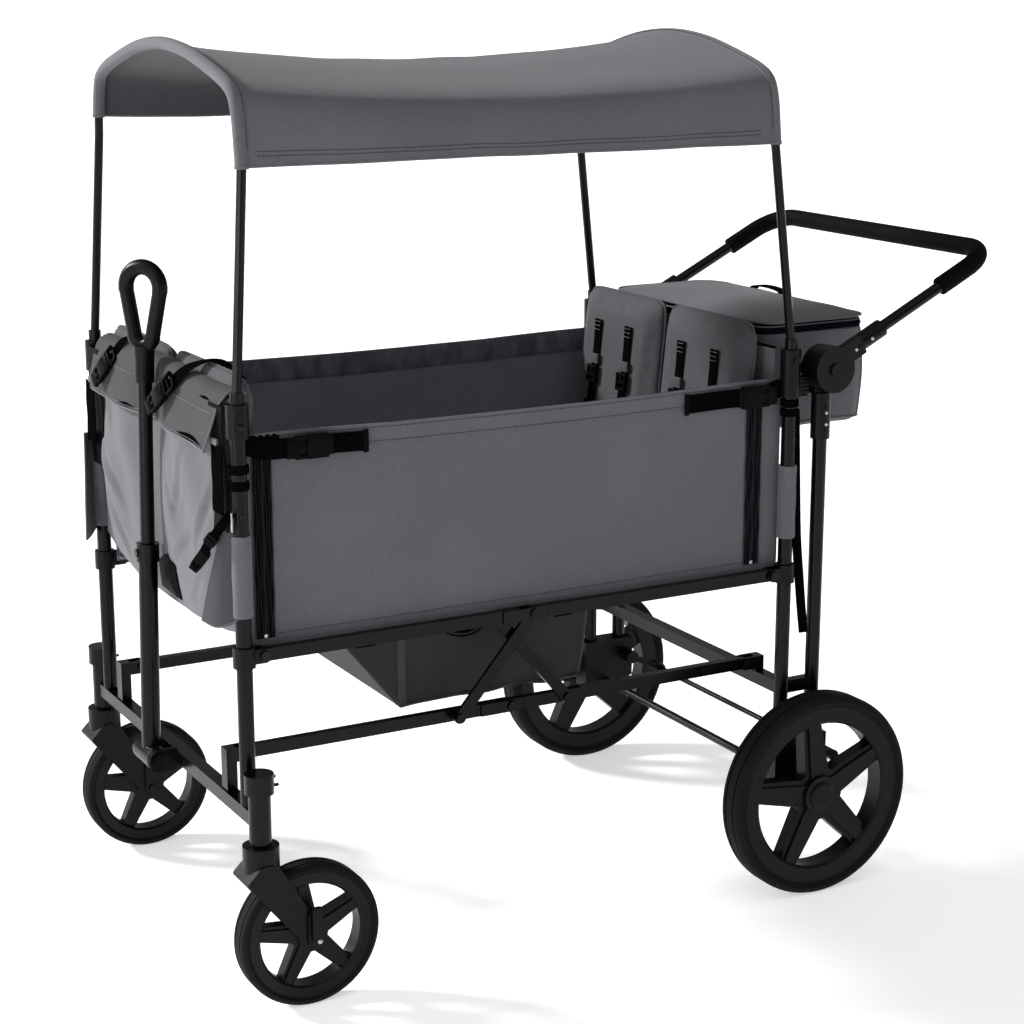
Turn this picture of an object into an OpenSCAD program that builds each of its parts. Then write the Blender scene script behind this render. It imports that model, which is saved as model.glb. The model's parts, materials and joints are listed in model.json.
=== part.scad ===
// Folding stroller wagon with a canopy, a tilting push bar and a telescopic pull handle.
// X runs from the front to the rear, Y from the left to the right, Z up. The ground is z = 0,
// and the origin is under the middle of the wagon's overall length.

/* [Frame] */
// Distance between the front and the rear posts
post_spacing = 804; // [790:1:840]
// Distance between the left and the right posts
post_track = 524; // [518:1:560]
// Outer diameter of the posts
post_d = 20; // [18:0.5:21]
// Wall of the round tubes
tube_wall = 1.5; // [1:0.1:2]
// Height of the posts' tops
post_top_z = 760; // [750:1:790]
// Height of the upper rails
upper_rail_z = 454; // [450:1:460]
// Height of the lower rails
lower_rail_z = 309; // [306:1:316]
// Distance between the left and the right lower rails
lower_rail_track = 400; // [390:1:410]
// Height of a rail's section
rail_h = 16; // [14:0.5:17]
// Width of a rail's section
rail_w = 12; // [10:0.5:13]
// Wall of the square tubes
rail_wall = 1.5; // [1:0.1:2]
// How far the rails' pivots stand inside the posts
pivot_inset = 24; // [23:0.5:28]
// How far each rail turns up when the frame folds
fold_angle = 64; // [55:1:65]
// Distance of the scissor bars' lower bolts from the middle
scissor_reach = 84; // [78:1:90]
// Side of the square cross bars
bar_size = 18; // [16:0.5:20]
// Height of the front cross bar
front_bar_z = 253; // [250:1:258]
// Height of the rear cross bar
rear_bar_z = 288; // [284:1:290]

/* [Wheels] */
// Diameter of a rear wheel
rear_wheel_d = 290; // [270:1:300]
// Width of a rear tyre
rear_tyre_w = 44; // [38:1:48]
// Distance of the rear axle behind the rear posts
rear_axle_behind = 23; // [21:0.5:25]
// Distance of a rear wheel's middle outside the posts
rear_wheel_out = 56; // [52:1:64]
// Diameter of a front wheel
front_wheel_d = 188; // [176:1:192]
// Width of a front tyre
front_tyre_w = 35; // [30:1:38]
// Distance of a caster's stem outside the posts
stem_out = 36; // [34:1:44]
// Trail of a caster
caster_trail = 59; // [54:1:64]
// Arms of a wheel's star
wheel_arms = 5; // [4:1:6]

/* [Push handle] */
// Distance of the hinge hubs behind the rear posts
hub_behind = 58; // [56:1:64]
// Height of the hinge hubs
hub_z = 738; // [734:1:744]
// Diameter of a hinge hub
hub_d = 64; // [58:1:68]
// Angle of the push handle above the horizontal
push_angle = 26.5; // [15:0.5:35]
// Length of the push handle from the hubs to the cross grip
push_arm = 320; // [290:1:360]
// Diameter of the push handle's tube
push_tube_d = 16; // [14:0.5:18]
// Diameter of the foam grip
grip_d = 26; // [22:1:30]

/* [Pull handle] */
// Distance of the pull handle's pivot in front of the front posts
pull_pivot_ahead = 33; // [31:0.5:38]
// Height of the pull handle's pivot
pull_pivot_z = 251; // [248:1:256]
// Diameter of the pull handle's outer tube
pull_tube_d = 25; // [23:0.5:27]
// Length of the pull handle's outer tube
pull_tube_len = 290; // [270:1:310]
// Diameter of the pull handle's sliding tube
slide_tube_d = 19; // [17:0.5:20]
// Travel of the sliding tube
pull_travel = 205; // [180:1:210]
// Reach of the pull handle's top above its pivot
pull_len = 661; // [640:1:690]
// Backward lean of the pull handle
pull_lean = 1.3; // [0.5:0.1:1.6]

/* [Canopy] */
// Diameter of the canopy poles
pole_d = 12; // [10:0.5:13]
// Height of the canopy's hem
eave_z = 1045; // [1020:1:1080]
// Height of the canopy's ridge above its hem
canopy_rise = 136; // [110:1:160]
// Thickness of the canopy cover
canopy_t = 3; // [2:0.5:4]
// Depth of a canopy pole in its post
pole_depth = 60; // [50:1:70]

/* [Cabin] */
// Height of the fabric walls' tops
wall_top_z = 726; // [715:1:740]
// Thickness of a fabric side wall
wall_t = 4; // [3:0.5:5]
// Thickness of the floor mats
floor_t = 12; // [8:1:13]
// Width of one seat back cushion
seat_w = 226; // [200:1:234]
// Height of the seat back cushions
seat_h = 320; // [290:1:330]
// Thickness of the rear seat back cushions
seat_t = 30; // [24:1:34]
// Backward lean of the rear seat back
seat_lean = 6; // [3:0.5:7]
// Height of the under basket
basket_h = 140; // [120:1:144]
// Length of the under basket's bottom
basket_len = 279; // [250:1:300]
// Width of the under basket
basket_w = 330; // [300:1:370]
// Depth of the rear bag behind the rear posts
bag_depth = 175; // [150:1:185]
// Width of the rear bag
bag_w = 404; // [380:1:420]
// Height of the rear bag's body
bag_h = 148; // [130:1:156]

/* [Hidden] */
$fn = 48;

// Colours of the finishes
frame_black = [0.06, 0.06, 0.065];
plastic_black = [0.04, 0.04, 0.045];
rubber_black = [0.03, 0.03, 0.03];
foam_black = [0.05, 0.05, 0.05];
fabric_gray = [0.34, 0.34, 0.37];
lining_black = [0.09, 0.09, 0.10];
bolt_steel = [0.06, 0.06, 0.065];

// Overrun of a cut, and the clearances of a running fit, a fixed seat and a soft piece
over = 1;
run_gap = 0.06;
seat_gap = 0.1;
soft_gap = 0.4;

// Rail hinges: ears, pins and the relief that lets two rails close on each other
ear_t = 3;
ear_r = rail_h / 2 + 1;
rail_gap = 0.4;
pin_d = 8;
pin_head_d = 13;
pin_head_t = 3;
cheek_t = 2.5;
cheek_len = 46;
hinge_relief = 20;
plug_len = 14;
drain_d = 5;
clevis_w = rail_w + 2 * (rail_gap + ear_t);

// Post collars, brackets and the connector ribs
collar_wall = 4;
collar_h = 26;
collar_d = post_d + 2 * collar_wall;
bracket_w = 14;
front_collar_h = 41;
rear_collar_h = 65;
collar_lip = 8;
collar_boss_d = 11;
collar_boss_t = 2;
collar_boss_drop = 14;
rib_count = 5;
rib_zone_h = 26;
rib_w = 16;
rib_depth = 3;
rib_share = 0.5;

// Caster stems and forks
stem_d = 28;
stem_bottom_z = 224;
stem_top_z = 315;
stem_cap_d = 37;
stem_cap_h = 25;
king_d = 16;
king_depth = 62;
clip_r = 6;
clip_d = 4;
clip_sweep = 200;
fork_cup_d = 46;
fork_gap = 2;
fork_cheek_t = 5;
fork_air = 4;
fork_side_air = 2.5;
fork_nose_out = 28;
fork_nose_z = 181;
fork_nose_r = 4;
fork_boss_r = 14;
fork_boss_h = 46;
fork_boss_t = 4;
fork_waist_r = 21;
fork_bolt_d = 12;
caster_axle_d = 10;

// Rims and tyres
rim_tyre_share = 0.883;
rim_lip_share = 0.72;
rim_w_share = 0.8;
tyre_shoulder_share = 0.22;
groove_w_share = 0.07;
groove_depth_share = 0.018;
arm_root_w_share = 0.31;
wheel_turn = 28;
arm_tip_w_share = 0.18;
arm_t_share = 0.58;
ridge_t_share = 0.38;
ridge_w_share = 0.58;
rim_bevel_share = 0.1;
wheel_hub_d_share = 0.19;
wheel_boss_d_share = 0.265;
rim_boss_rise = 1.2;
wheel_cap_d_share = 0.135;
cap_rise = 3;
rear_axle_d = 12;
axle_cover = 2;

// Rear wheel brackets and the foot brake
block_t = 32;
block_top_z = 214;
block_bottom_z = 128;
block_front = 17;
block_rear = 17;
block_chamfer = 22;
post_seat_z = 142;
brake_behind = 56;
brake_z = 187;
brake_run = 54;
brake_drop = 27;
brake_pin_d = 8;
brake_eye_d = 20;
brake_w = 26;
brake_plate_t = 8;
brake_rod_d = 8;
brake_side_gap = 0.5;

// Push handle hubs
hub_split_gap = 0.4;
hub_base_t = 17;
hub_cap_t = 21;
hub_pin_d = 14;
hub_clear = 2;
post_socket_d = 27;
post_socket_len = 98;
post_socket_grip = 46;
arm_socket_d = 25;
arm_socket_len = 106;
arm_socket_grip = 42;
arm_inset = 2;
button_d = 18;
button_seat = 8;
button_proud = 3.5;
push_post_behind = 53;
rivet_d = 6;
rivet_t = 1;
rivet_shares = [0.55, 0.88];
push_corner_r = 48;
grip_start = 219;

// Pull handle
pull_barrel_d = 32;
pull_barrel_len = 58;
pull_pin_d = 10;
pull_ear_t = 4;
pull_ear_r = 15;
pull_pin_head_d = 20;
pull_collar_d = 30;
pull_collar_h = 24;
pull_overlap = 48;
loop_d = 20;
loop_w = 72;
loop_h = 120;
loop_low_r = 14;
loop_turn = 35;
neck_d = 25;
neck_len = 48;
neck_flare_d = 28;
neck_flare_h = 24;

// Canopy bows and cover: the half outline as shares of the half width and of the rise
bow_shares = [[1, 0], [0.97, 0.5], [0.9, 0.68], [0.545, 0.86], [0.3, 0.955], [0, 1]];
canopy_half_w = post_track / 2 - 5;
front_bow_lean = 17;
rear_bow_lean = 32;
bow_sides = 12;
pole_stop_d = pole_d + 5;
pole_stop_h = 14;
pole_start_share = 0.3;
canopy_overhang = 9;
canopy_rows = 14;
ridge_sag = 22;
side_sag = 7;

// Fabric walls and panels
wall_gap = 3;
wall_end_gap = 15;
wall_bottom_gap = 5;
wall_corner_r = 34;
hem_h = 22;
hem_t = 2;
sleeve_t = 2.2;
sleeve_low_z = 505;
sleeve_h = 102;
post_loop_h = 24;
front_loop_drop = 40;
rear_loop_drop = 3;
panel_t = 4;
panel_rows = 16;
panel_cols = 24;
panel_top_z = 770;
panel_bottom_z = 470;
panel_bulge = 9;
panel_fold = 3;
panel_flap = 4;
handle_dent_share = 0.75;
handle_dent_w_share = 0.3;
flap_share = 0.74;
rear_panel_top_z = 768;
rear_panel_inset = 10;
strap_w = 25;
strap_t = 2.5;
front_strap_len = 157;
rear_strap_len = 146;
strap_drop = 7;
buckle_len = 52;
buckle_h = 34;
buckle_t = 9;
buckle_share = 0.62;

// Seats, floor and harness
seat_rows = 14;
seat_cols = 12;
seat_crown_power = 0.45;
seat_rim_share = 0.3;
seat_draw = 5;
seat_corner_share = 0.055;
front_seat_t = 24;
floor_start = 33;
floor_mid_gap = 2;
floor_side_gap = 3;
floor_edge_r = 5;
floor_tab_t = 2;
floor_tab_w = 60;
floor_tab_shares = [0.2, 0.75];
harness_w = 25;
harness_t = 2;
harness_h = 150;
harness_top_share = 0.85;
harness_pad_w = 34;
harness_pad_t = 9;
harness_pad_h = 46;
harness_shares = [0.31, 0.69];

// Basket and bag
basket_t = 3;
basket_side_gap = 6;
basket_rake_front = 114;
basket_rake_rear = 17;
basket_ahead = 131;
basket_bottom_z = 303;
basket_strap_w = 30;
basket_strap_inset = 26;
bag_t = 4;
bag_bottom_z = 642;
bag_edge_r = 20;
lid_t = 11;
lid_lip = 2;
lid_gap = 0.4;
lid_roll_d = 5;

// Places worked out from the sizes above
post_y = post_track / 2;
lower_y = max(lower_rail_track, basket_w + rail_w + 2 * basket_side_gap) / 2;
stem_y = post_y + stem_out;
rear_wheel_y = post_y + rear_wheel_out;
pull_reach = pull_pivot_ahead + pull_barrel_d / 2;
push_reach = hub_behind + push_arm * cos(push_angle) + grip_d / 2;
mid_x = (pull_reach - push_reach) / 2;
front_x = mid_x - post_spacing / 2;
rear_x = mid_x + post_spacing / 2;
front_pivot_x = front_x + pivot_inset;
rear_pivot_x = rear_x - pivot_inset;
rail_len = post_spacing / 2 - pivot_inset;
rail_drop = upper_rail_z - lower_rail_z;
collar_top_z = post_top_z + collar_lip;
hub_x = rear_x + hub_behind;
push_post_x = rear_x + push_post_behind;
axle_x = rear_x + rear_axle_behind;
axle_z = rear_wheel_d / 2;
pull_x = front_x - pull_pivot_ahead;
caster_x = front_x + caster_trail;
caster_z = front_wheel_d / 2;
scissor_top_reach = rail_drop * scissor_reach / (rail_drop + 2 * scissor_reach * sin(fold_angle));
scissor_h = 16;
scissor_eye_d = 12;
scissor_t = 5;
scissor_gap = 2;
scissor_a_y = lower_y + rail_w / 2 + scissor_gap + scissor_t / 2;
scissor_b_y = scissor_a_y + scissor_t + scissor_gap;
scissor_stop_y = post_y - rail_w / 2 - cheek_t - rail_gap;
tongue_w = rail_w - 2 * rail_gap;
wall_y = post_y - post_d / 2 - wall_gap;
wall_bottom_z = upper_rail_z + rail_h / 2 + wall_bottom_gap;
floor_half_w = wall_y - wall_t - floor_side_gap;
floor_z = upper_rail_z + rail_h / 2 + soft_gap;
fork_w = front_tyre_w + 2 * (fork_side_air + fork_cheek_t);
hub_inner_y = post_y - post_socket_d / 2;
hub_split_y = hub_inner_y + hub_base_t;
hub_outer_y = hub_split_y + hub_split_gap + hub_cap_t;
arm_y = post_y - arm_inset;
loop_r = (loop_w - loop_d) / 2;
loop_centre = pull_len - loop_d / 2 - loop_r;
loop_low = pull_len - loop_h + loop_d / 2 + loop_low_r;
loop_foot = loop_low - loop_low_r;
loop_slant = asin((loop_r - loop_low_r) / (loop_centre - loop_low));

// A copy on each side of the wagon
module sides() {
    children();
    mirror([0, 1, 0]) children();
}

// A round bar along Y, centred
module rod_y(d, span) {
    rotate([90, 0, 0]) cylinder(d = d, h = span, center = true);
}

// An open round tube along Z
module tube_z(d, wall, bottom, top) {
    difference() {
        translate([0, 0, bottom]) cylinder(d = d, h = top - bottom);
        translate([0, 0, bottom - over]) cylinder(d = d - 2 * wall, h = top - bottom + 2 * over);
    }
}

// A closed skin between an outer and an inner sheet, each a grid of points
module skin(outer, inner) {
    rows = len(outer);
    cols = len(outer[0]);
    points = concat([for (row = outer) each row], [for (row = inner) each row]);
    back = rows * cols;
    function at(i, j) = i * cols + j;
    sheet = [for (i = [0 : rows - 2], j = [0 : cols - 2])
        each [[at(i, j), at(i + 1, j + 1), at(i + 1, j)], [at(i, j), at(i, j + 1), at(i + 1, j + 1)]]];
    lining = [for (f = sheet) [back + f[2], back + f[1], back + f[0]]];
    rim = concat(
        [for (j = [0 : cols - 1]) at(0, j)],
        [for (i = [1 : rows - 1]) at(i, cols - 1)],
        [for (j = [cols - 2 : -1 : 0]) at(rows - 1, j)],
        [for (i = [rows - 2 : -1 : 1]) at(i, 0)]);
    edge = [for (k = [0 : len(rim) - 1])
        let (a = rim[k], b = rim[(k + 1) % len(rim)])
        each [[a, back + b, b], [a, back + a, back + b]]];
    polyhedron(points, concat(sheet, lining, edge));
}

// A tube that follows a list of points, with square ends
module swept_tube(points, d, facets) {
    last = len(points) - 1;
    function along(i) =
        let (v = points[min(i + 1, last)] - points[max(i - 1, 0)]) v / norm(v);
    function ring(i) =
        let (t = along(i), u = cross(t, [1, 0, 0]), e = u / norm(u), f = cross(t, e))
        [for (k = [0 : facets - 1])
            points[i] + d / 2 * (cos(360 * k / facets) * e + sin(360 * k / facets) * f)];
    rings = [for (i = [0 : last]) each ring(i)];
    function at(i, k) = i * facets + k % facets;
    body = [for (i = [0 : last - 1], k = [0 : facets - 1])
        each [[at(i, k), at(i + 1, k + 1), at(i, k + 1)], [at(i, k), at(i + 1, k), at(i + 1, k + 1)]]];
    ends = [[for (k = [0 : facets - 1]) at(0, k)], [for (k = [facets - 1 : -1 : 0]) at(last, k)]];
    polyhedron(rings, concat(body, ends));
}

// A rounded rectangle, centred
function corner_arc(cx, cy, r, from) =
    [for (k = [0 : 4]) [cx + r * cos(from + 22.5 * k), cy + r * sin(from + 22.5 * k)]];
function rounded(w, h, r) = concat(
    corner_arc(w / 2 - r, h / 2 - r, r, 0),
    corner_arc(r - w / 2, h / 2 - r, r, 90),
    corner_arc(r - w / 2, r - h / 2, r, 180),
    corner_arc(w / 2 - r, r - h / 2, r, 270));

// Corner cutting that rounds a line of points and keeps its ends
function cut_corners(p) = concat(
    [p[0]],
    [for (i = [0 : len(p) - 2]) each [0.75 * p[i] + 0.25 * p[i + 1], 0.25 * p[i] + 0.75 * p[i + 1]]],
    [p[len(p) - 1]]);

// The outline in Y and Z of a canopy bow, from the left hem over the ridge to the right hem
half_bow = [for (s = bow_shares) [canopy_half_w * s[0], eave_z + canopy_rise * s[1]]];
bow_line = cut_corners(concat(
    [for (p = half_bow) [-p[0], p[1]]],
    [for (i = [len(half_bow) - 2 : -1 : 0]) half_bow[i]]));
function bow_normal(i) =
    let (last = len(bow_line) - 1, v = bow_line[min(i + 1, last)] - bow_line[max(i - 1, 0)])
    [-v[1], v[0]] / norm(v);

// Posts and bars
module front_posts() {
    color(frame_black) sides()
        translate([front_x, post_y, 0]) tube_z(post_d, tube_wall, front_bar_z + bar_size / 2, post_top_z);
}

module rear_posts() {
    color(frame_black) sides()
        translate([rear_x, post_y, 0]) tube_z(post_d, tube_wall, post_seat_z, post_top_z);
}

module push_posts() {
    color(frame_black) sides()
        translate([push_post_x, post_y, 0])
            tube_z(post_d, tube_wall, post_seat_z, hub_z - post_socket_grip - seat_gap);
}

// A square bar across the wagon, hollow, that fits between two round uprights
module cross_bar(reach, upright_d) {
    difference() {
        cube([bar_size, 2 * reach, bar_size], center = true);
        cube([bar_size - 2 * rail_wall, 2 * reach + over, bar_size - 2 * rail_wall], center = true);
        sides() translate([0, reach, 0])
            cylinder(d = upright_d + 2 * seat_gap, h = bar_size + 2 * over, center = true);
    }
}

module front_cross_bar() {
    color(frame_black) translate([front_x, 0, front_bar_z]) cross_bar(stem_y, stem_d);
}

// The rear bar and the short bars that tie the rear posts to the push posts
module rear_cross_bar() {
    color(frame_black) {
        translate([rear_x, 0, rear_bar_z]) cross_bar(post_y, post_d);
        sides() difference() {
            translate([rear_x + push_post_behind / 2, post_y, rear_bar_z])
                cube([push_post_behind, bracket_w, bar_size], center = true);
            for (x = [rear_x, push_post_x])
                translate([x, post_y, rear_bar_z])
                    cylinder(d = post_d + 2 * seat_gap, h = bar_size + 2 * over, center = true);
        }
    }
}

// Two ears that hold a rail's end; facing is 1 towards the rear and -1 towards the front
module clevis_ears(facing) {
    for (s = [-1, 1])
        translate([0, s * (rail_w / 2 + rail_gap + ear_t / 2), 0]) {
            translate([facing * pivot_inset / 2, 0, 0])
                cube([pivot_inset, ear_t, 2 * ear_r], center = true);
            translate([facing * pivot_inset, 0, 0]) rod_y(2 * ear_r, ear_t);
        }
}

module pin_bore(facing) {
    translate([facing * pivot_inset, 0, 0]) rod_y(pin_d + 2 * seat_gap, clevis_w + 2 * over);
}

// An upright that stands on a cross bar and holds a lower rail
module rail_bracket(base_z, facing) {
    foot = base_z + bar_size / 2 - lower_rail_z;
    difference() {
        union() {
            translate([-bracket_w / 2, -clevis_w / 2, foot]) cube([bracket_w, clevis_w, ear_r - foot]);
            clevis_ears(facing);
        }
        pin_bore(facing);
    }
}

module front_rail_brackets() {
    color(frame_black) sides()
        translate([front_x, lower_y, lower_rail_z]) rail_bracket(front_bar_z, 1);
}

module rear_rail_brackets() {
    color(frame_black) sides()
        translate([rear_x, lower_y, lower_rail_z]) rail_bracket(rear_bar_z, -1);
}

// A moulded collar on a post that holds an upper rail
module post_collar(facing) {
    difference() {
        union() {
            cylinder(d = collar_d, h = collar_h, center = true);
            clevis_ears(facing);
        }
        cylinder(d = post_d + 2 * seat_gap, h = collar_h + 2 * over, center = true);
        pin_bore(facing);
    }
}

module front_post_collars() {
    color(plastic_black) sides() translate([front_x, post_y, upper_rail_z]) post_collar(1);
}

module rear_post_collars() {
    color(plastic_black) sides() translate([rear_x, post_y, upper_rail_z]) post_collar(-1);
}

// A bolt with a head at each end
module hinge_pin() {
    rod_y(pin_d, clevis_w + 2 * seat_gap + 2 * pin_head_t);
    sides() translate([0, clevis_w / 2 + seat_gap + pin_head_t / 2, 0]) rod_y(pin_head_d, pin_head_t);
}

module frame_pins(x) {
    color(bolt_steel) sides() {
        translate([x, post_y, upper_rail_z]) hinge_pin();
        translate([x, lower_y, lower_rail_z]) hinge_pin();
    }
}

module front_hinge_pins() {
    frame_pins(front_pivot_x);
}

module rear_hinge_pins() {
    frame_pins(rear_pivot_x);
}

// A moulded cap on a post's top, with the socket of a canopy pole and a screw boss
module top_collar(height) {
    difference() {
        union() {
            translate([0, 0, collar_top_z - height]) cylinder(d = collar_d, h = height);
            translate([0, collar_d / 2, collar_top_z - collar_boss_drop])
                rod_y(collar_boss_d, 2 * collar_boss_t);
        }
        translate([0, 0, collar_top_z - height - over])
            cylinder(d = post_d + 2 * seat_gap, h = height + over - collar_lip);
        translate([0, 0, post_top_z - over]) cylinder(d = pole_d + 2 * run_gap, h = collar_lip + 2 * over);
    }
}

module front_top_collars() {
    color(plastic_black) sides() translate([front_x, post_y, 0]) top_collar(front_collar_h);
}

// The rear caps also reach back to the push handle's hinges with a ribbed web
module rear_top_collars() {
    web_start = collar_d / 2 - collar_wall / 2;
    web_end = hub_behind - hub_d / 2 - seat_gap;
    web_z = collar_top_z - rear_collar_h;
    color(plastic_black) sides() translate([rear_x, post_y, 0]) {
        top_collar(rear_collar_h);
        difference() {
            translate([web_start, -rib_w / 2, web_z]) cube([web_end - web_start, rib_w, rib_zone_h]);
            for (i = [0 : rib_count - 1])
                translate([collar_d / 2, rib_w / 2 - rib_depth,
                        web_z + rib_zone_h * (i + rib_share / 2) / rib_count])
                    cube([web_end, rib_depth + over, rib_zone_h * rib_share / rib_count]);
        }
    }
}

// Upright sleeves of the casters at the ends of the front bar, with a release clip
module caster_stems() {
    color(frame_black) sides() translate([front_x, stem_y, 0]) {
        difference() {
            union() {
                translate([0, 0, stem_bottom_z]) cylinder(d = stem_d, h = stem_top_z - stem_bottom_z);
                translate([0, 0, stem_top_z - stem_cap_h]) cylinder(d = stem_cap_d, h = stem_cap_h);
                translate([stem_cap_d / 2 + clip_r - clip_d / 2, 0, stem_top_z - stem_cap_h / 2])
                    rotate([90, -clip_sweep / 2, 0])
                        rotate_extrude(angle = clip_sweep) translate([clip_r, 0]) circle(d = clip_d);
            }
            translate([0, 0, stem_bottom_z - over])
                cylinder(d = king_d + 2 * run_gap, h = king_depth + 2 * over);
        }
    }
}

// Rails: a hollow square tube with solid ends and a drain hole
module rail_tube(from, to) {
    difference() {
        translate([from, -rail_w / 2, -rail_h / 2]) cube([to - from, rail_w, rail_h]);
        translate([from + plug_len, rail_wall - rail_w / 2, rail_wall - rail_h / 2])
            cube([to - from - 2 * plug_len, rail_w - 2 * rail_wall, rail_h - 2 * rail_wall]);
        translate([(from + to) / 2, 0, -rail_h / 2 - over]) cylinder(d = drain_d, h = rail_wall + 2 * over);
    }
}

module end_bore(fit) {
    rod_y(pin_d + 2 * fit, rail_w + 2 * over);
}

// A front rail, from its post's pivot at x = 0 to the cheeks and pin of the middle hinge
module cheek_rail() {
    difference() {
        union() {
            rail_tube(0, rail_len - hinge_relief);
            rod_y(rail_h, rail_w);
        }
        end_bore(run_gap);
    }
    sides() {
        translate([rail_len - cheek_len, rail_w / 2, -rail_h / 2]) cube([cheek_len, cheek_t, rail_h]);
        translate([rail_len, (rail_w + cheek_t) / 2, 0]) rod_y(rail_h, cheek_t);
        translate([rail_len, rail_w / 2 + cheek_t + pin_head_t / 2, 0]) rod_y(pin_head_d, pin_head_t);
    }
    translate([rail_len, 0, 0]) rod_y(pin_d, rail_w + cheek_t);
}

// A rear rail, from its post's pivot at x = 0 to the tongue of the middle hinge
module tongue_rail(fit) {
    difference() {
        union() {
            rail_tube(0, rail_len - hinge_relief);
            rod_y(rail_h, rail_w);
            translate([rail_len - hinge_relief, -tongue_w / 2, -rail_h / 2])
                cube([hinge_relief, tongue_w, rail_h]);
            translate([rail_len, 0, 0]) rod_y(rail_h, tongue_w);
        }
        end_bore(run_gap);
        translate([rail_len, 0, 0]) end_bore(fit);
    }
}

// A bolt on a lower rail that a scissor bar turns on
module scissor_bolt(bar_y) {
    tip = bar_y - lower_y + scissor_t / 2 + rail_gap;
    translate([rail_len - scissor_reach, rail_w / 2 - rail_wall, 0])
        rotate([-90, 0, 0]) cylinder(d = pin_d, h = tip - rail_w / 2 + rail_wall);
    translate([rail_len - scissor_reach, tip, 0]) rotate([-90, 0, 0])
        cylinder(d = pin_head_d, h = pin_head_t);
}

module upper_front_rails() {
    color(frame_black) sides() translate([front_pivot_x, post_y, upper_rail_z]) cheek_rail();
}

module upper_rear_rails() {
    color(frame_black) sides()
        translate([rear_pivot_x, post_y, upper_rail_z]) mirror([1, 0, 0]) tongue_rail(run_gap);
}

module lower_front_rails() {
    color(frame_black) sides() translate([front_pivot_x, lower_y, lower_rail_z]) {
        cheek_rail();
        scissor_bolt(scissor_b_y);
    }
}

// The middle pivot of the lower rails is the linkage's opened one, so its bore is wider
module lower_rear_rails() {
    color(frame_black) sides()
        translate([rear_pivot_x, lower_y, lower_rail_z]) mirror([1, 0, 0]) {
            tongue_rail(rail_gap);
            scissor_bolt(scissor_a_y);
        }
}

// A flat bar from its lower bolt up to a spacer beside the other upper rail
module scissor_bar(bar_y) {
    run = scissor_reach + scissor_top_reach;
    slant = norm([run, rail_drop]);
    translate([scissor_reach, bar_y, 0]) rotate([0, atan2(rail_drop, run) - 180, 0]) difference() {
        union() {
            translate([0, -scissor_t / 2, -scissor_h / 2]) cube([slant - scissor_h, scissor_t, scissor_h]);
            translate([0, -scissor_t / 2, -scissor_eye_d / 2]) cube([slant, scissor_t, scissor_eye_d]);
            rod_y(scissor_h, scissor_t);
            translate([slant, 0, 0]) rod_y(scissor_eye_d, scissor_t);
            translate([slant, 0, 0]) rotate([-90, 0, 0])
                cylinder(d = scissor_eye_d - 2 * rail_gap, h = scissor_stop_y - bar_y);
        }
        rod_y(pin_d + 2 * run_gap, scissor_t + 2 * over);
    }
}

module scissor_bars_a() {
    color(frame_black) sides() translate([mid_x, 0, lower_rail_z]) scissor_bar(scissor_a_y);
}

module scissor_bars_b() {
    color(frame_black) sides()
        translate([mid_x, 0, lower_rail_z]) mirror([1, 0, 0]) scissor_bar(scissor_b_y);
}

// Half of the padded floor, from near a post's pivot at x = 0 to the middle, with loops on the rails
module floor_half() {
    reach = rail_len - floor_mid_gap - floor_start;
    translate([floor_start + reach / 2, floor_half_w, floor_z + floor_t / 2]) rotate([90, 0, 0])
        linear_extrude(2 * floor_half_w) polygon(rounded(reach, floor_t, floor_edge_r));
    for (s = floor_tab_shares)
        translate([floor_start + reach * s, 0, floor_z + floor_tab_t / 2])
            cube([floor_tab_w, 2 * post_y + rail_w, floor_tab_t], center = true);
}

module floor_front() {
    color(lining_black) translate([front_pivot_x, 0, 0]) floor_half();
}

module floor_rear() {
    color(lining_black) translate([rear_pivot_x, 0, 0]) mirror([1, 0, 0]) floor_half();
}

// Rear wheel brackets: a moulded block that takes both posts and the axle, with the brake's pivot
module wheel_brackets() {
    length = block_front + push_post_behind + block_rear;
    height = block_top_z - block_bottom_z;
    color(plastic_black) sides() {
        difference() {
            translate([rear_x - block_front, post_y + block_t / 2, block_bottom_z]) rotate([90, 0, 0])
                linear_extrude(block_t) polygon([
                    [0, block_chamfer / 2], [block_chamfer / 2, 0], [length - 2 * block_chamfer, 0],
                    [length, block_chamfer], [length, height], [0, height]]);
            for (x = [rear_x, push_post_x])
                translate([x, post_y, post_seat_z - seat_gap])
                    cylinder(d = post_d + 2 * seat_gap, h = block_top_z - post_seat_z + over);
            translate([axle_x, post_y, axle_z]) rod_y(rear_axle_d + 2 * seat_gap, block_t + 2 * over);
        }
        translate([rear_x + brake_behind, post_y - block_t / 2 + over, brake_z]) rotate([90, 0, 0])
            cylinder(d = brake_pin_d, h = brake_w + 2 * brake_side_gap + over);
    }
}

module rear_axle() {
    color(bolt_steel) translate([axle_x, 0, axle_z])
        rod_y(rear_axle_d, 2 * rear_wheel_y + rear_tyre_w * rim_w_share - 2 * axle_cover);
}

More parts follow.
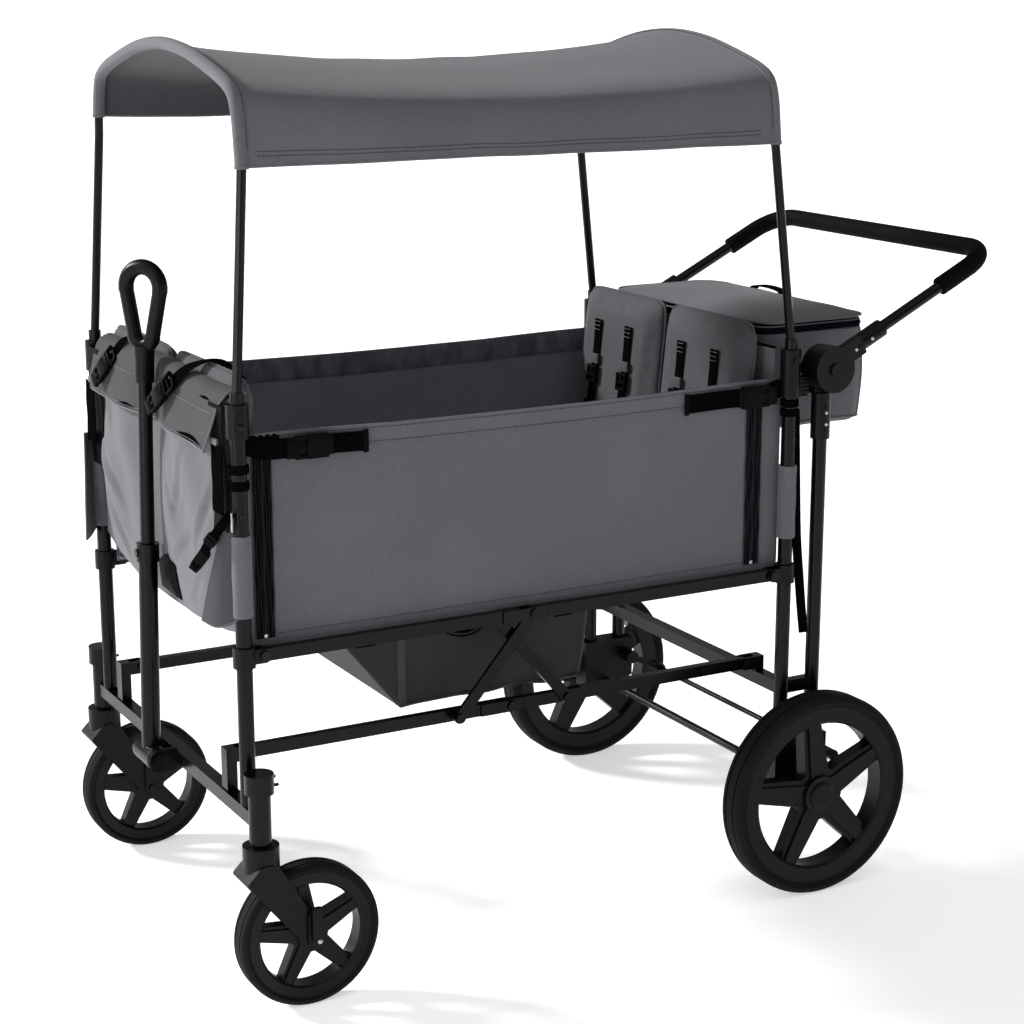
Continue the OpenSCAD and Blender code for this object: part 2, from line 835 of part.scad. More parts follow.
// Foot pedals inside both rear wheels, joined by a rod
module brake_pedals() {
    fall = atan2(brake_drop, brake_run);
    reach = norm([brake_run, brake_drop]);
    pedal_y = post_y - block_t / 2 - brake_side_gap - brake_w / 2;
    color(plastic_black) translate([rear_x + brake_behind, 0, brake_z]) {
        sides() translate([0, pedal_y, 0]) rotate([0, fall, 0]) difference() {
            union() {
                rod_y(brake_eye_d, brake_w);
                translate([0, -brake_w / 2, -brake_plate_t / 2])
                    cube([reach + brake_rod_d, brake_w, brake_plate_t]);
                translate([reach, 0, 0]) rod_y(2 * brake_rod_d, brake_w);
            }
            rod_y(brake_pin_d + 2 * run_gap, brake_w + 2 * over);
            translate([reach, 0, 0]) rod_y(brake_rod_d + 2 * seat_gap, brake_w + 2 * over);
        }
        translate([brake_run, 0, -brake_drop]) rod_y(brake_rod_d, 2 * pedal_y + brake_w);
    }
}

// Tyre, turned about Z: a rounded tread with two running grooves
module tyre(d, w) {
    r = d / 2;
    seat = r * rim_tyre_share;
    soft = w * tyre_shoulder_share;
    difference() {
        rotate_extrude($fn = 96) polygon(concat(
            [[seat, -w / 2 + soft / 2], [seat, w / 2 - soft / 2]],
            [for (a = [90 : -15 : 0]) [r - soft + soft * cos(a), w / 2 - soft + soft * sin(a)]],
            [for (a = [0 : -15 : -90]) [r - soft + soft * cos(a), soft - w / 2 + soft * sin(a)]]));
        for (s = [-1, 1])
            translate([0, 0, s * w / 5]) rotate_extrude($fn = 96)
                translate([r - d * groove_depth_share / 2, -w * groove_w_share / 2])
                    square([d, w * groove_w_share]);
    }
}

// The outline of one arm of a rim's star, or of the ridge along it
module arm_shape(d, reach, share) {
    root = d * arm_root_w_share * share / 4;
    tip = d * arm_tip_w_share * share / 4;
    polygon([[0, -root], [reach, -tip], [reach, tip], [0, root]]);
}

// Moulded rim, turned about Z, with a star of tapering arms and a domed cap on its outer face
module rim(d, w, axle_d, blind) {
    outer_r = d / 2 * rim_tyre_share - seat_gap;
    lip_r = d / 2 * rim_lip_share;
    rim_w = w * rim_w_share;
    hub_r = d * wheel_hub_d_share / 2;
    cap_r = d * wheel_cap_d_share / 2;
    arm_t = rim_w * arm_t_share;
    arm_end = outer_r - cap_rise;
    bevel = rim_w * rim_bevel_share;
    rotate([0, 0, wheel_turn]) difference() {
        union() {
            rotate_extrude($fn = 96) polygon([
                [lip_r, bevel - rim_w / 2], [lip_r + bevel, -rim_w / 2], [outer_r, -rim_w / 2],
                [outer_r, rim_w / 2], [lip_r + bevel, rim_w / 2], [lip_r, rim_w / 2 - bevel]]);
            cylinder(r = hub_r, h = rim_w, center = true);
            cylinder(d = d * wheel_boss_d_share, h = arm_t + rim_boss_rise, center = true);
            rotate_extrude() polygon([
                [0, 0], [cap_r, 0], [cap_r, (rim_w + cap_rise) / 2],
                [cap_r - cap_rise, rim_w / 2 + cap_rise], [0, rim_w / 2 + cap_rise]]);
            for (k = [0 : wheel_arms - 1])
                rotate([0, 0, 90 + 360 * k / wheel_arms]) {
                    translate([0, 0, -arm_t / 2]) linear_extrude(arm_t) arm_shape(d, arm_end, 1);
                    linear_extrude(rim_w * ridge_t_share) arm_shape(d, arm_end, ridge_w_share);
                }
        }
        translate([0, 0, -rim_w / 2 - over])
            cylinder(d = axle_d + 2 * run_gap, h = blind ? rim_w + over : rim_w + cap_rise + 2 * over);
    }
}

// Places a wheel's shape with its outer face to the right
module at_rear_wheel() {
    translate([axle_x, rear_wheel_y, axle_z]) rotate([-90, 0, 0]) children();
}

module at_front_wheel() {
    translate([caster_x, stem_y, caster_z]) rotate([-90, 0, 0]) children();
}

module rear_tyre_right() {
    color(rubber_black) at_rear_wheel() tyre(rear_wheel_d, rear_tyre_w);
}

module rear_tyre_left() {
    mirror([0, 1, 0]) rear_tyre_right();
}

module rear_rim_right() {
    color(plastic_black) at_rear_wheel() rim(rear_wheel_d, rear_tyre_w, rear_axle_d, true);
}

module rear_rim_left() {
    mirror([0, 1, 0]) rear_rim_right();
}

module front_tyre_right() {
    color(rubber_black) at_front_wheel() tyre(front_wheel_d, front_tyre_w);
}

module front_tyre_left() {
    mirror([0, 1, 0]) front_tyre_right();
}

module front_rim_right() {
    color(plastic_black) at_front_wheel() rim(front_wheel_d, front_tyre_w, caster_axle_d, false);
}

module front_rim_left() {
    mirror([0, 1, 0]) front_rim_right();
}

// A caster's fork with its king pin and axle bolt: two cheeks that sweep back from a round cup
module caster_fork_right() {
    cup_top = stem_bottom_z - fork_gap;
    cup_r = fork_cup_d / 2;
    boss_r = fork_boss_r - fork_nose_r;
    color(plastic_black) translate([front_x, stem_y, 0]) {
        difference() {
            union() {
                translate([0, 0, fork_nose_z]) cylinder(r = cup_r, h = cup_top - fork_nose_z);
                translate([0, fork_w / 2, 0]) rotate([90, 0, 0]) linear_extrude(fork_w) hull() {
                    translate([0, fork_nose_z]) circle(r = fork_waist_r, $fn = 32);
                    translate([fork_nose_r - fork_nose_out, fork_nose_z]) circle(r = fork_nose_r, $fn = 32);
                    translate([caster_trail, caster_z]) circle(r = fork_boss_r, $fn = 32);
                }
                sides() translate([caster_trail, fork_w / 2 - over, caster_z]) rotate([-90, 0, 0])
                    linear_extrude(fork_boss_t + over) hull() {
                        circle(r = boss_r, $fn = 32);
                        translate([0, -fork_boss_h + fork_boss_r]) circle(r = boss_r, $fn = 32);
                    }
            }
            translate([caster_trail, 0, caster_z])
                rod_y(front_wheel_d + 2 * fork_air, front_tyre_w + 2 * fork_side_air);
        }
        translate([0, 0, cup_top - over]) cylinder(d = king_d, h = king_depth + over);
        translate([caster_trail, 0, caster_z]) rod_y(caster_axle_d, fork_w + 2 * fork_boss_t);
        sides() translate([caster_trail, fork_w / 2 + fork_boss_t + pin_head_t / 2, caster_z])
            rod_y(fork_bolt_d, pin_head_t);
    }
}

module caster_fork_left() {
    mirror([0, 1, 0]) caster_fork_right();
}

// Push handle: the fixed half of a hinge with its socket on the push post
module push_hinge_bases() {
    color(plastic_black) sides() translate([hub_x, 0, hub_z]) {
        difference() {
            union() {
                translate([0, hub_inner_y, 0]) rotate([-90, 0, 0])
                    cylinder(d = hub_d - hub_clear, h = hub_base_t);
                translate([push_post_x - hub_x - post_socket_d / 2, hub_inner_y,
                        -hub_d / 2 - hub_clear - over])
                    cube([post_socket_d, hub_base_t, hub_d / 2 + hub_clear + over]);
                translate([push_post_x - hub_x, post_y, -post_socket_len])
                    cylinder(d = post_socket_d, h = post_socket_len - hub_d / 2 - hub_clear);
                translate([push_post_x - hub_x, post_y, 0]) for (s = rivet_shares)
                    translate([0, post_socket_d / 2, -post_socket_len * s]) rod_y(rivet_d, 2 * rivet_t);
            }
            translate([push_post_x - hub_x, post_y, -post_socket_len - over])
                cylinder(d = post_d + 2 * seat_gap, h = post_socket_len - post_socket_grip + over);
        }
        translate([0, hub_split_y - over, 0]) rotate([-90, 0, 0])
            cylinder(d = hub_pin_d, h = hub_cap_t - button_seat + over);
    }
}

// The turning half of a hinge with its socket on the handle's arm
module push_handle_hubs() {
    face = hub_split_y + hub_split_gap;
    color(plastic_black) sides() translate([hub_x, 0, hub_z]) {
        difference() {
            union() {
                translate([0, face, 0]) rotate([-90, 0, 0]) cylinder(d = hub_d, h = hub_cap_t);
                rotate([0, -push_angle, 0]) {
                    translate([0, face, -arm_socket_d / 2])
                        cube([hub_d, arm_y + arm_socket_d / 2 - face, arm_socket_d]);
                    translate([hub_d / 2 + hub_clear, arm_y, 0]) rotate([0, 90, 0])
                        cylinder(d = arm_socket_d, h = arm_socket_len - hub_d / 2 - hub_clear);
                    for (s = rivet_shares)
                        translate([arm_socket_len * s, arm_y + arm_socket_d / 2, 0])
                            rod_y(rivet_d, 2 * rivet_t);
                }
            }
            rotate([0, -push_angle, 0]) translate([arm_socket_grip, arm_y, 0]) rotate([0, 90, 0])
                cylinder(d = push_tube_d + 2 * seat_gap, h = arm_socket_len);
            translate([0, face - over, 0]) rotate([-90, 0, 0])
                cylinder(d = hub_pin_d + 2 * run_gap, h = hub_cap_t + over);
            translate([0, hub_outer_y - button_seat, 0]) rotate([-90, 0, 0])
                cylinder(d = button_d + 2 * run_gap, h = button_seat + over);
        }
    }
}

// A tube bent in a U: two arms and a cross piece with round corners, in the handle's own plane
module push_loop(d, start) {
    side = push_arm - push_corner_r;
    sides() {
        translate([start, arm_y, 0]) rotate([0, 90, 0]) cylinder(d = d, h = side - start);
        translate([side, arm_y - push_corner_r, 0])
            rotate_extrude(angle = 90) translate([push_corner_r, 0]) circle(d = d);
    }
    translate([push_arm, 0, 0]) rod_y(d, 2 * (arm_y - push_corner_r));
}

module at_push_handle() {
    translate([hub_x, 0, hub_z]) rotate([0, -push_angle, 0]) children();
}

module push_bar() {
    color(frame_black) at_push_handle() push_loop(push_tube_d, arm_socket_grip + seat_gap);
}

module push_grip() {
    color(foam_black) at_push_handle() difference() {
        push_loop(grip_d, grip_start);
        push_loop(push_tube_d + 2 * seat_gap, grip_start - over);
    }
}

module push_button_right() {
    seat = hub_outer_y - button_seat + button_proud;
    color(plastic_black) translate([hub_x, seat, hub_z]) rotate([-90, 0, 0])
        cylinder(d = button_d, h = button_seat);
}

module push_button_left() {
    mirror([0, 1, 0]) push_button_right();
}

// Pull handle: the forked bracket and the pin on the front bar
module pull_handle_bracket() {
    base_x = front_x - bar_size / 2 - seat_gap;
    ear_y = pull_barrel_len / 2 + rail_gap;
    color(frame_black) {
        sides() {
            translate([pull_x, ear_y, pull_pivot_z - pull_ear_r])
                cube([base_x - pull_x, pull_ear_t, 2 * pull_ear_r]);
            translate([pull_x, ear_y + pull_ear_t / 2, pull_pivot_z]) rod_y(2 * pull_ear_r, pull_ear_t);
            translate([pull_x, ear_y + pull_ear_t + pin_head_t / 2, pull_pivot_z])
                rod_y(pull_pin_head_d, pin_head_t);
        }
        translate([base_x - pull_ear_t, -ear_y - pull_ear_t / 2, pull_pivot_z - pull_ear_r])
            cube([pull_ear_t, 2 * ear_y + pull_ear_t, 2 * pull_ear_r]);
        translate([pull_x, 0, pull_pivot_z]) rod_y(pull_pin_d, 2 * ear_y + pull_ear_t);
    }
}

module at_pull_handle() {
    translate([pull_x, 0, pull_pivot_z]) rotate([0, pull_lean, 0]) children();
}

module pull_tube() {
    color(frame_black) at_pull_handle() difference() {
        union() {
            rod_y(pull_barrel_d, pull_barrel_len);
            cylinder(d = pull_tube_d, h = pull_tube_len);
            translate([0, 0, pull_tube_len - pull_collar_h]) cylinder(d = pull_collar_d, h = pull_collar_h);
            translate([-pull_collar_d / 2, 0, pull_tube_len - pull_collar_h / 2]) rotate([0, 90, 0])
                cylinder(d = collar_boss_d, h = 2 * collar_boss_t, center = true);
        }
        rod_y(pull_pin_d + 2 * run_gap, pull_barrel_len + 2 * over);
        translate([0, 0, pull_tube_len - pull_overlap - pull_travel - hub_clear])
            cylinder(d = slide_tube_d + 2 * run_gap, h = pull_overlap + pull_travel + hub_clear + over);
    }
}

module pull_slide_tube() {
    color(frame_black) at_pull_handle()
        tube_z(slide_tube_d, tube_wall, pull_tube_len - pull_overlap, loop_foot - loop_d / 2 - seat_gap);
}

// The stirrup grip: a round bow on two legs that meet in a neck over the sliding tube
module pull_grip() {
    leg_len = (loop_centre - loop_low) * cos(loop_slant);
    color(plastic_black) at_pull_handle() rotate([0, 0, loop_turn]) difference() {
        union() {
            translate([0, 0, loop_centre]) rotate([90, 0, 90]) rotate([0, 0, -loop_slant])
                rotate_extrude(angle = 180 + 2 * loop_slant) translate([loop_r, 0]) circle(d = loop_d);
            translate([0, 0, loop_low]) rotate([90, 0, 90]) rotate([0, 0, 180 + loop_slant])
                rotate_extrude(angle = 180 - 2 * loop_slant) translate([loop_low_r, 0]) circle(d = loop_d);
            sides() translate([0, loop_low_r * cos(loop_slant), loop_low - loop_low_r * sin(loop_slant)])
                rotate([-loop_slant, 0, 0]) translate([0, 0, -over]) cylinder(d = loop_d - over, h = leg_len + 2 * over);
            translate([0, 0, loop_foot]) rotate_extrude() polygon([
                [0, -neck_len], [neck_d / 2, -neck_len], [neck_d / 2, -neck_flare_h], [neck_flare_d / 2, 0], [0, 0]]);
        }
        translate([0, 0, loop_foot - neck_len - over])
            cylinder(d = slide_tube_d + 2 * seat_gap, h = neck_len - loop_d / 2 + over);
    }
}

// Canopy: a bow of bent pole whose straight feet stand in the posts
module bow(x, lean) {
    foot = post_top_z - pole_depth;
    joint = [for (p = bow_line) [x + lean, p[0], p[1]]];
    start = collar_top_z + pole_stop_h * pole_start_share;
    sides() translate([x, post_y, 0]) {
        translate([0, 0, foot]) cylinder(d = pole_d, h = collar_top_z + pole_stop_h / 2 - foot);
        translate([0, 0, collar_top_z + seat_gap]) cylinder(d = pole_stop_d, h = pole_stop_h);
    }
    swept_tube(concat([[x, -post_y, start]], joint, [[x, post_y, start]]), pole_d, bow_sides);
}

module front_bow() {
    color(frame_black) bow(front_x, front_bow_lean);
}

module rear_bow() {
    color(frame_black) bow(rear_x, -rear_bow_lean);
}

// The canopy cover: one sheet over both bows that sags between them
function canopy_point(s, i, lift) =
    let (
        start = front_x + front_bow_lean - canopy_overhang,
        reach = rear_x - rear_bow_lean + canopy_overhang - start,
        p = bow_line[i] + lift * bow_normal(i),
        rise = (bow_line[i][1] - eave_z) / canopy_rise,
        dip = pow(sin(180 * s), 2))
    [start + reach * s, p[0] * (1 - side_sag * dip * rise / canopy_half_w), p[1] - ridge_sag * dip * rise];
function canopy_sheet(lift) =
    [for (k = [0 : canopy_rows]) [for (i = [0 : len(bow_line) - 1]) canopy_point(k / canopy_rows, i, lift)]];

module canopy_cover() {
    inner = pole_d / 2 + soft_gap;
    color(fabric_gray) skin(canopy_sheet(inner + canopy_t), canopy_sheet(inner));
}

// A side wall of the fabric box, with the loops that hold it to the posts
module side_wall_right() {
    front = front_x + wall_end_gap;
    rear = rear_x - wall_end_gap;
    height = wall_top_z - wall_bottom_z;
    tab_t = post_y - post_d / 2 - soft_gap - sleeve_t / 2 - wall_y + wall_t;
    color(fabric_gray) {
        translate([front, wall_y, wall_bottom_z]) rotate([90, 0, 0]) linear_extrude(wall_t) polygon(concat(
            [[0, 0]],
            [for (a = [-90 : 15 : 0]) [rear - front - wall_corner_r + wall_corner_r * cos(a),
                wall_corner_r + wall_corner_r * sin(a)]],
            [[rear - front, height], [0, height]]));
        translate([front, wall_y - over, wall_top_z - hem_h])
            cube([rear - front, hem_t + over, hem_h]);
        for (x = [front_x, rear_x]) {
            translate([x, post_y, 0])
                tube_z(post_d + 2 * (soft_gap + sleeve_t), sleeve_t, sleeve_low_z, sleeve_low_z + sleeve_h);
        }
        difference() {
            union() {
                for (x = [front_x, rear - over])
                    translate([x, wall_y - wall_t, sleeve_low_z])
                        cube([wall_end_gap + over, tab_t, sleeve_h]);
            }
            for (x = [front_x, rear_x])
                translate([x, post_y, 0]) cylinder(d = post_d + 2 * soft_gap, h = post_top_z);
        }
    }
}

module side_wall_left() {
    mirror([0, 1, 0]) side_wall_right();
}

// Webbing straps with side release buckles on the wall's outside at its upper corners
module corner_strap(length) {
    translate([0, 0, -strap_w / 2]) cube([length, strap_t, strap_w]);
    translate([length * buckle_share, strap_t, -buckle_h / 2]) cube([buckle_len, buckle_t, buckle_h]);
}

module corner_straps() {
    strap_y = wall_y + hem_t + soft_gap;
    strap_z = wall_top_z - strap_drop - strap_w / 2;
    color(lining_black) sides() {
        translate([front_x + wall_end_gap, strap_y, strap_z]) corner_strap(front_strap_len);
        translate([rear_x - wall_end_gap, strap_y, strap_z]) mirror([1, 0, 0]) corner_strap(rear_strap_len);
    }
}

// A fabric loop round each post that carries an end panel, whose edge stands at the given x
module panel_loops(x, edge_x, bottom) {
    loop_d = post_d + 2 * (soft_gap + sleeve_t);
    sides() difference() {
        union() {
            translate([x, post_y, bottom]) cylinder(d = loop_d, h = post_loop_h);
            translate([edge_x, floor_half_w + soft_gap, bottom])
                cube([panel_t / 2, post_y - floor_half_w - soft_gap, post_loop_h]);
        }
        translate([x, post_y, bottom - over]) cylinder(d = post_d + 2 * soft_gap, h = post_loop_h + 2 * over);
    }
}

// The soft front panel: it bulges forward in folds, and a flap lies over its top
function panel_x(u, v, back) =
    let (
        bulge = panel_bulge * (1 - pow(u, 4)) * pow(sin(180 * pow(v, 0.8)), 0.7),
        fold = panel_fold * (1 - u * u) * sin(180 * v) * sin(360 * (1.6 * u + 0.7 * v)),
        flap = v > flap_share ? panel_flap : 0,
        stand = 1 - handle_dent_share * exp(-pow(u / handle_dent_w_share, 2)))
    back ? front_x + panel_t - stand * (bulge + fold) : front_x - stand * (bulge + fold + flap);
function panel_point(i, j, back) =
    let (v = i / panel_rows, u = 2 * j / panel_cols - 1)
    [panel_x(u, v, back), u * floor_half_w, panel_bottom_z + (panel_top_z - panel_bottom_z) * v];

module front_panel() {
    color(fabric_gray) {
        skin(
            [for (i = [0 : panel_rows]) [for (j = [0 : panel_cols]) panel_point(i, j, false)]],
            [for (i = [0 : panel_rows]) [for (j = [0 : panel_cols]) panel_point(i, j, true)]]);
        panel_loops(front_x, front_x + panel_t / 4,
            collar_top_z - front_collar_h - front_loop_drop - post_loop_h);
    }
}

// The plain back panel between the rear posts
module rear_panel() {
    height = rear_panel_top_z - panel_bottom_z;
    edge_x = rear_x - rear_panel_inset - panel_t;
    color(fabric_gray) {
        translate([edge_x, 0, panel_bottom_z + height / 2]) rotate([90, 0, 90])
            linear_extrude(panel_t) polygon(rounded(2 * floor_half_w, height, wall_corner_r));
        panel_loops(rear_x, edge_x + panel_t / 4,
            collar_top_z - rear_collar_h - rear_loop_drop - post_loop_h);
    }
}

// One crowned cushion with drawn in sides, standing on z = 0 with its back at x = 0
function cushion_point(i, j, t, back) =
    let (
        u = 2 * j / seat_cols - 1,
        w = 2 * i / seat_rows - 1,
        crown = pow(max(0, (1 - pow(u, 4)) * (1 - pow(w, 4))), seat_crown_power),
        half = t / 2 * (seat_rim_share + (1 - seat_rim_share) * crown),
        pull = 1 - seat_corner_share * pow(u * w, 6))
    [-t / 2 + (back ? half : -half),
        pull * u * (seat_w / 2 - seat_draw * (1 - w * w)),
        seat_h / 2 + pull * w * (seat_h / 2 - seat_draw * (1 - u * u))];

module cushion(t) {
    skin([for (i = [0 : seat_rows]) [for (j = [0 : seat_cols]) cushion_point(i, j, t, false)]],
        [for (i = [0 : seat_rows]) [for (j = [0 : seat_cols]) cushion_point(i, j, t, true)]]);
}

module seat_pair(t) {
    sides() translate([0, (seat_w + seat_draw) / 2, 0]) cushion(t);
}

// The back of the leaning cushion at its furthest, and the front panel's back behind the front cushions
seat_bottom_z = floor_z + floor_t + soft_gap;
rear_seat_reach = max([for (i = [0 : seat_rows])
    let (p = cushion_point(i, seat_cols / 2, seat_t, true)) p[0] * cos(seat_lean) + p[2] * sin(seat_lean)]);
front_seat_x = soft_gap + max([for (s = [-1, 1], i = [0 : seat_rows], j = [0 : seat_cols])
    let (
        p = cushion_point(i, j, front_seat_t, true),
        u = s * (p[1] + (seat_w + seat_draw) / 2) / floor_half_w,
        v = (p[2] + seat_bottom_z - panel_bottom_z) / (panel_top_z - panel_bottom_z))
    panel_x(u, min(v, 1), true) + p[0]]);

module at_rear_seat() {
    translate([rear_x - rear_panel_inset - panel_t - soft_gap - rear_seat_reach, 0,
            seat_bottom_z + seat_t * sin(seat_lean)])
        rotate([0, seat_lean, 0]) children();
}

module rear_seat_back() {
    color(fabric_gray) at_rear_seat() seat_pair(seat_t);
}

module front_seat_back() {
    color(fabric_gray) translate([front_seat_x, 0, seat_bottom_z]) mirror([1, 0, 0]) seat_pair(front_seat_t);
}

// Shoulder straps with pads on the rear seat back
module rear_seat_harness() {
    color(lining_black) at_rear_seat() sides() for (s = harness_shares)
        translate([-seat_t - soft_gap - harness_t, seat_draw / 2 + seat_w * s, seat_h * harness_top_share]) {
            translate([0, -harness_w / 2, -harness_h]) cube([harness_t, harness_w, harness_h]);
            translate([harness_t - harness_pad_t, -harness_pad_w / 2, -harness_h])
                cube([harness_pad_t, harness_pad_w, harness_pad_h]);
        }
}

// The under basket: an open tray whose front end rakes forward, hung on straps
function basket_outline(inset, top) = [
    [-basket_ahead + inset, inset], [basket_len - basket_ahead - inset, inset],
    [basket_len - basket_ahead + basket_rake_rear - inset, top],
    [-basket_ahead - basket_rake_front + inset, top]];

module under_basket() {
    hang = floor_z - soft_gap - basket_bottom_z;
    color(fabric_gray) translate([mid_x, 0, basket_bottom_z]) {
        difference() {
            translate([0, basket_w / 2, 0]) rotate([90, 0, 0])
                linear_extrude(basket_w) polygon(basket_outline(0, basket_h));
            translate([0, basket_w / 2 - basket_t, 0]) rotate([90, 0, 0])
                linear_extrude(basket_w - 2 * basket_t) polygon(basket_outline(basket_t, basket_h + over));
        }
        sides() for (x = [-basket_ahead - basket_rake_front + 2 * basket_strap_inset,
                basket_len - basket_ahead - basket_strap_inset])
            translate([x - basket_strap_w / 2, basket_w / 2 - basket_t, basket_h - basket_strap_w])
                cube([basket_strap_w, basket_t, hang - basket_h + basket_strap_w]);
    }
}

// The rear bag: an open soft shell behind the back panel, with a strip in front of its lid
function bag_front() = rear_x - rear_panel_inset + soft_gap;

module bag_shell(grow, height) {
    front = bag_front();
    depth = rear_x + bag_depth - front;
    translate([front + depth / 2, 0, 0]) linear_extrude(height)
        polygon(rounded(depth - 2 * grow, bag_w - 2 * grow, bag_edge_r - grow));
}

module rear_bag() {
    color(fabric_gray) translate([0, 0, bag_bottom_z]) {
        difference() {
            bag_shell(0, bag_h);
            translate([0, 0, bag_t]) bag_shell(bag_t, bag_h);
        }
        translate([bag_front(), -bag_w / 2 + bag_edge_r, bag_h - bag_t])
            cube([rear_x - lid_roll_d / 2 - lid_gap - bag_front(), bag_w - 2 * bag_edge_r, bag_t + lid_t]);
    }
}

// The bag's lid, which turns on the roll along its front edge
module bag_lid() {
    depth = bag_depth + lid_lip;
    color(fabric_gray) translate([rear_x, 0, bag_bottom_z + bag_h + lid_gap]) {
        translate([depth / 2, 0, 0]) linear_extrude(lid_t) polygon(rounded(depth, bag_w, bag_edge_r));
        translate([0, 0, lid_t - lid_roll_d / 2]) rod_y(lid_roll_d, bag_w - 2 * bag_edge_r);
    }
}

front_posts();
front_cross_bar();
front_rail_brackets();
front_post_collars();
front_top_collars();
caster_stems();
pull_handle_bracket();
front_hinge_pins();
front_panel();
front_seat_back();
upper_front_rails();
floor_front();
upper_rear_rails();
floor_rear();
lower_front_rails();
lower_rear_rails();
scissor_bars_a();
scissor_bars_b();
rear_posts();
push_posts();
rear_cross_bar();
rear_rail_brackets();
rear_post_collars();
rear_top_collars();
wheel_brackets();
rear_axle();
push_hinge_bases();
rear_hinge_pins();
rear_panel();
rear_seat_back();
rear_seat_harness();
rear_bag();
bag_lid();
push_handle_hubs();
push_bar();
push_grip();
push_button_left();
push_button_right();
rear_tyre_left();
rear_rim_left();
rear_tyre_right();
rear_rim_right();
caster_fork_left();
caster_fork_right();
front_tyre_left();
front_rim_left();
front_tyre_right();
front_rim_right();
pull_tube();
pull_slide_tube();
pull_grip();
brake_pedals();
front_bow();
rear_bow();
canopy_cover();
side_wall_left();
side_wall_right();
corner_straps();
under_basket();
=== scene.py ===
import json
import math

import bmesh
import bpy
import numpy as np
from mathutils import Matrix, Vector, noise
from mathutils.bvhtree import BVHTree


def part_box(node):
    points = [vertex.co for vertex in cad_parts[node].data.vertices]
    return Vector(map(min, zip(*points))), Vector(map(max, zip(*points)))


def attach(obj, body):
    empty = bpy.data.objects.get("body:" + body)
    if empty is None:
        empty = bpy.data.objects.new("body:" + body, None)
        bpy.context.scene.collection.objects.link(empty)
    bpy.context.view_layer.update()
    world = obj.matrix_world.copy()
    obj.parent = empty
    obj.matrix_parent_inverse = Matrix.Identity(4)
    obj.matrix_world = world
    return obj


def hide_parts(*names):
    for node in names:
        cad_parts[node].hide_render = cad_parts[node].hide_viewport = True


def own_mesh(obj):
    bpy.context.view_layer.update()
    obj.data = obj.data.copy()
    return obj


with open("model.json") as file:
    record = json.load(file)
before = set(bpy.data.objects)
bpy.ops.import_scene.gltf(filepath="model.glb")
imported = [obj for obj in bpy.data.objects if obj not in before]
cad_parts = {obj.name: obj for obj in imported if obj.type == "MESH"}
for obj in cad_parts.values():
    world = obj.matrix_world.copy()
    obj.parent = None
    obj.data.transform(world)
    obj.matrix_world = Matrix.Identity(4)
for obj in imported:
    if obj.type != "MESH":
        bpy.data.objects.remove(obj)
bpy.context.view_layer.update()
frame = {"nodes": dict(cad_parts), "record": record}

bl_info = {
    "name": "Stroller wagon looks",
    "version": (1, 0, 0),
    "blender": (4, 5, 0),
    "location": "View3D > Sidebar > Wagon",
    "description": "Sews a folding stroller wagon's soft goods and gives every part its finish",
    "category": "Object",
}

MM = 0.001
TAU = 2 * math.pi


def corners(node):
    """Lowest and highest corner of a CAD node, in millimetres."""
    low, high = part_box(node)
    return low / MM, high / MM


FRONT_X = sum(c.x for c in corners("front_posts")) / 2
REAR_X = sum(c.x for c in corners("rear_posts")) / 2
POST_R = (corners("front_posts")[1].x - corners("front_posts")[0].x) / 2
POST_Y = corners("front_posts")[1].y - POST_R
WALL_LOW = corners("side_wall_right")[0]
MID_X = (FRONT_X + REAR_X) / 2
HANDS = ((-1, "left"), (1, "right"))
# The side walls' cloth: its ends, its foot and top, and where its zips run
WALL_FRONT, WALL_REAR = FRONT_X + 13, REAR_X - 5
WALL_FOOT, WALL_TOP = WALL_LOW.z - 14, 726.0
ZIP_XS = (FRONT_X + 34, REAR_X - 49)
# How far the layers of a side wall stand from the wagon's middle
BAND_Y, LINING_Y, CLOTH_Y = 244.2, 245.6, 247.8
FOOT_SEAM_Y, TAPE_Y, HEM_Y, TOP_SEAM_Y = 248.9, 249.1, 249.3, 250.1
# The canopy's bows: half their width, and the heights of their eaves and ridge
BOW_HALF, EAVE, RIDGE = 257.0, 1045.0, 1181.0
FAR_HEM_SHARE = 0.955
# Half the front panel's width, and its height
PANEL_SIZE = (240, 302)


class WagonSizes(bpy.types.PropertyGroup):
    """Sizes of the sewn and moulded details."""

    def size(label, about, metres):
        return bpy.props.FloatProperty(name=label, description=about, default=metres, min=0.0, unit="LENGTH")

    cloth: size("Cloth", "Thickness of the coated cloth with its lining", 0.0024)
    stitch: size("Stitch", "Length of one stitch", 0.0034)
    stitch_gap: size("Stitch gap", "Space between two stitches", 0.0018)
    thread: size("Thread", "Radius of the sewing thread", 0.00042)
    webbing: size("Webbing", "Width of the strap webbing", 0.025)
    piping: size("Piping", "Radius of the piping in the seams", 0.0018)
    hem: size("Hem", "Height of the band along the top of the walls", 0.024)
    wall_slack: size("Wall slack", "How far the side walls wave in and out", 0.0022)
    sleeve: size("Sleeve", "Radius of the cloth sleeve round a canopy bow", 0.0080)
    cushion_rise: size("Cushion rise", "Furthest a cushion's cover may swell when it is filled", 0.006)
    lens: size("Lens", "Focal length of the camera", 0.077756)


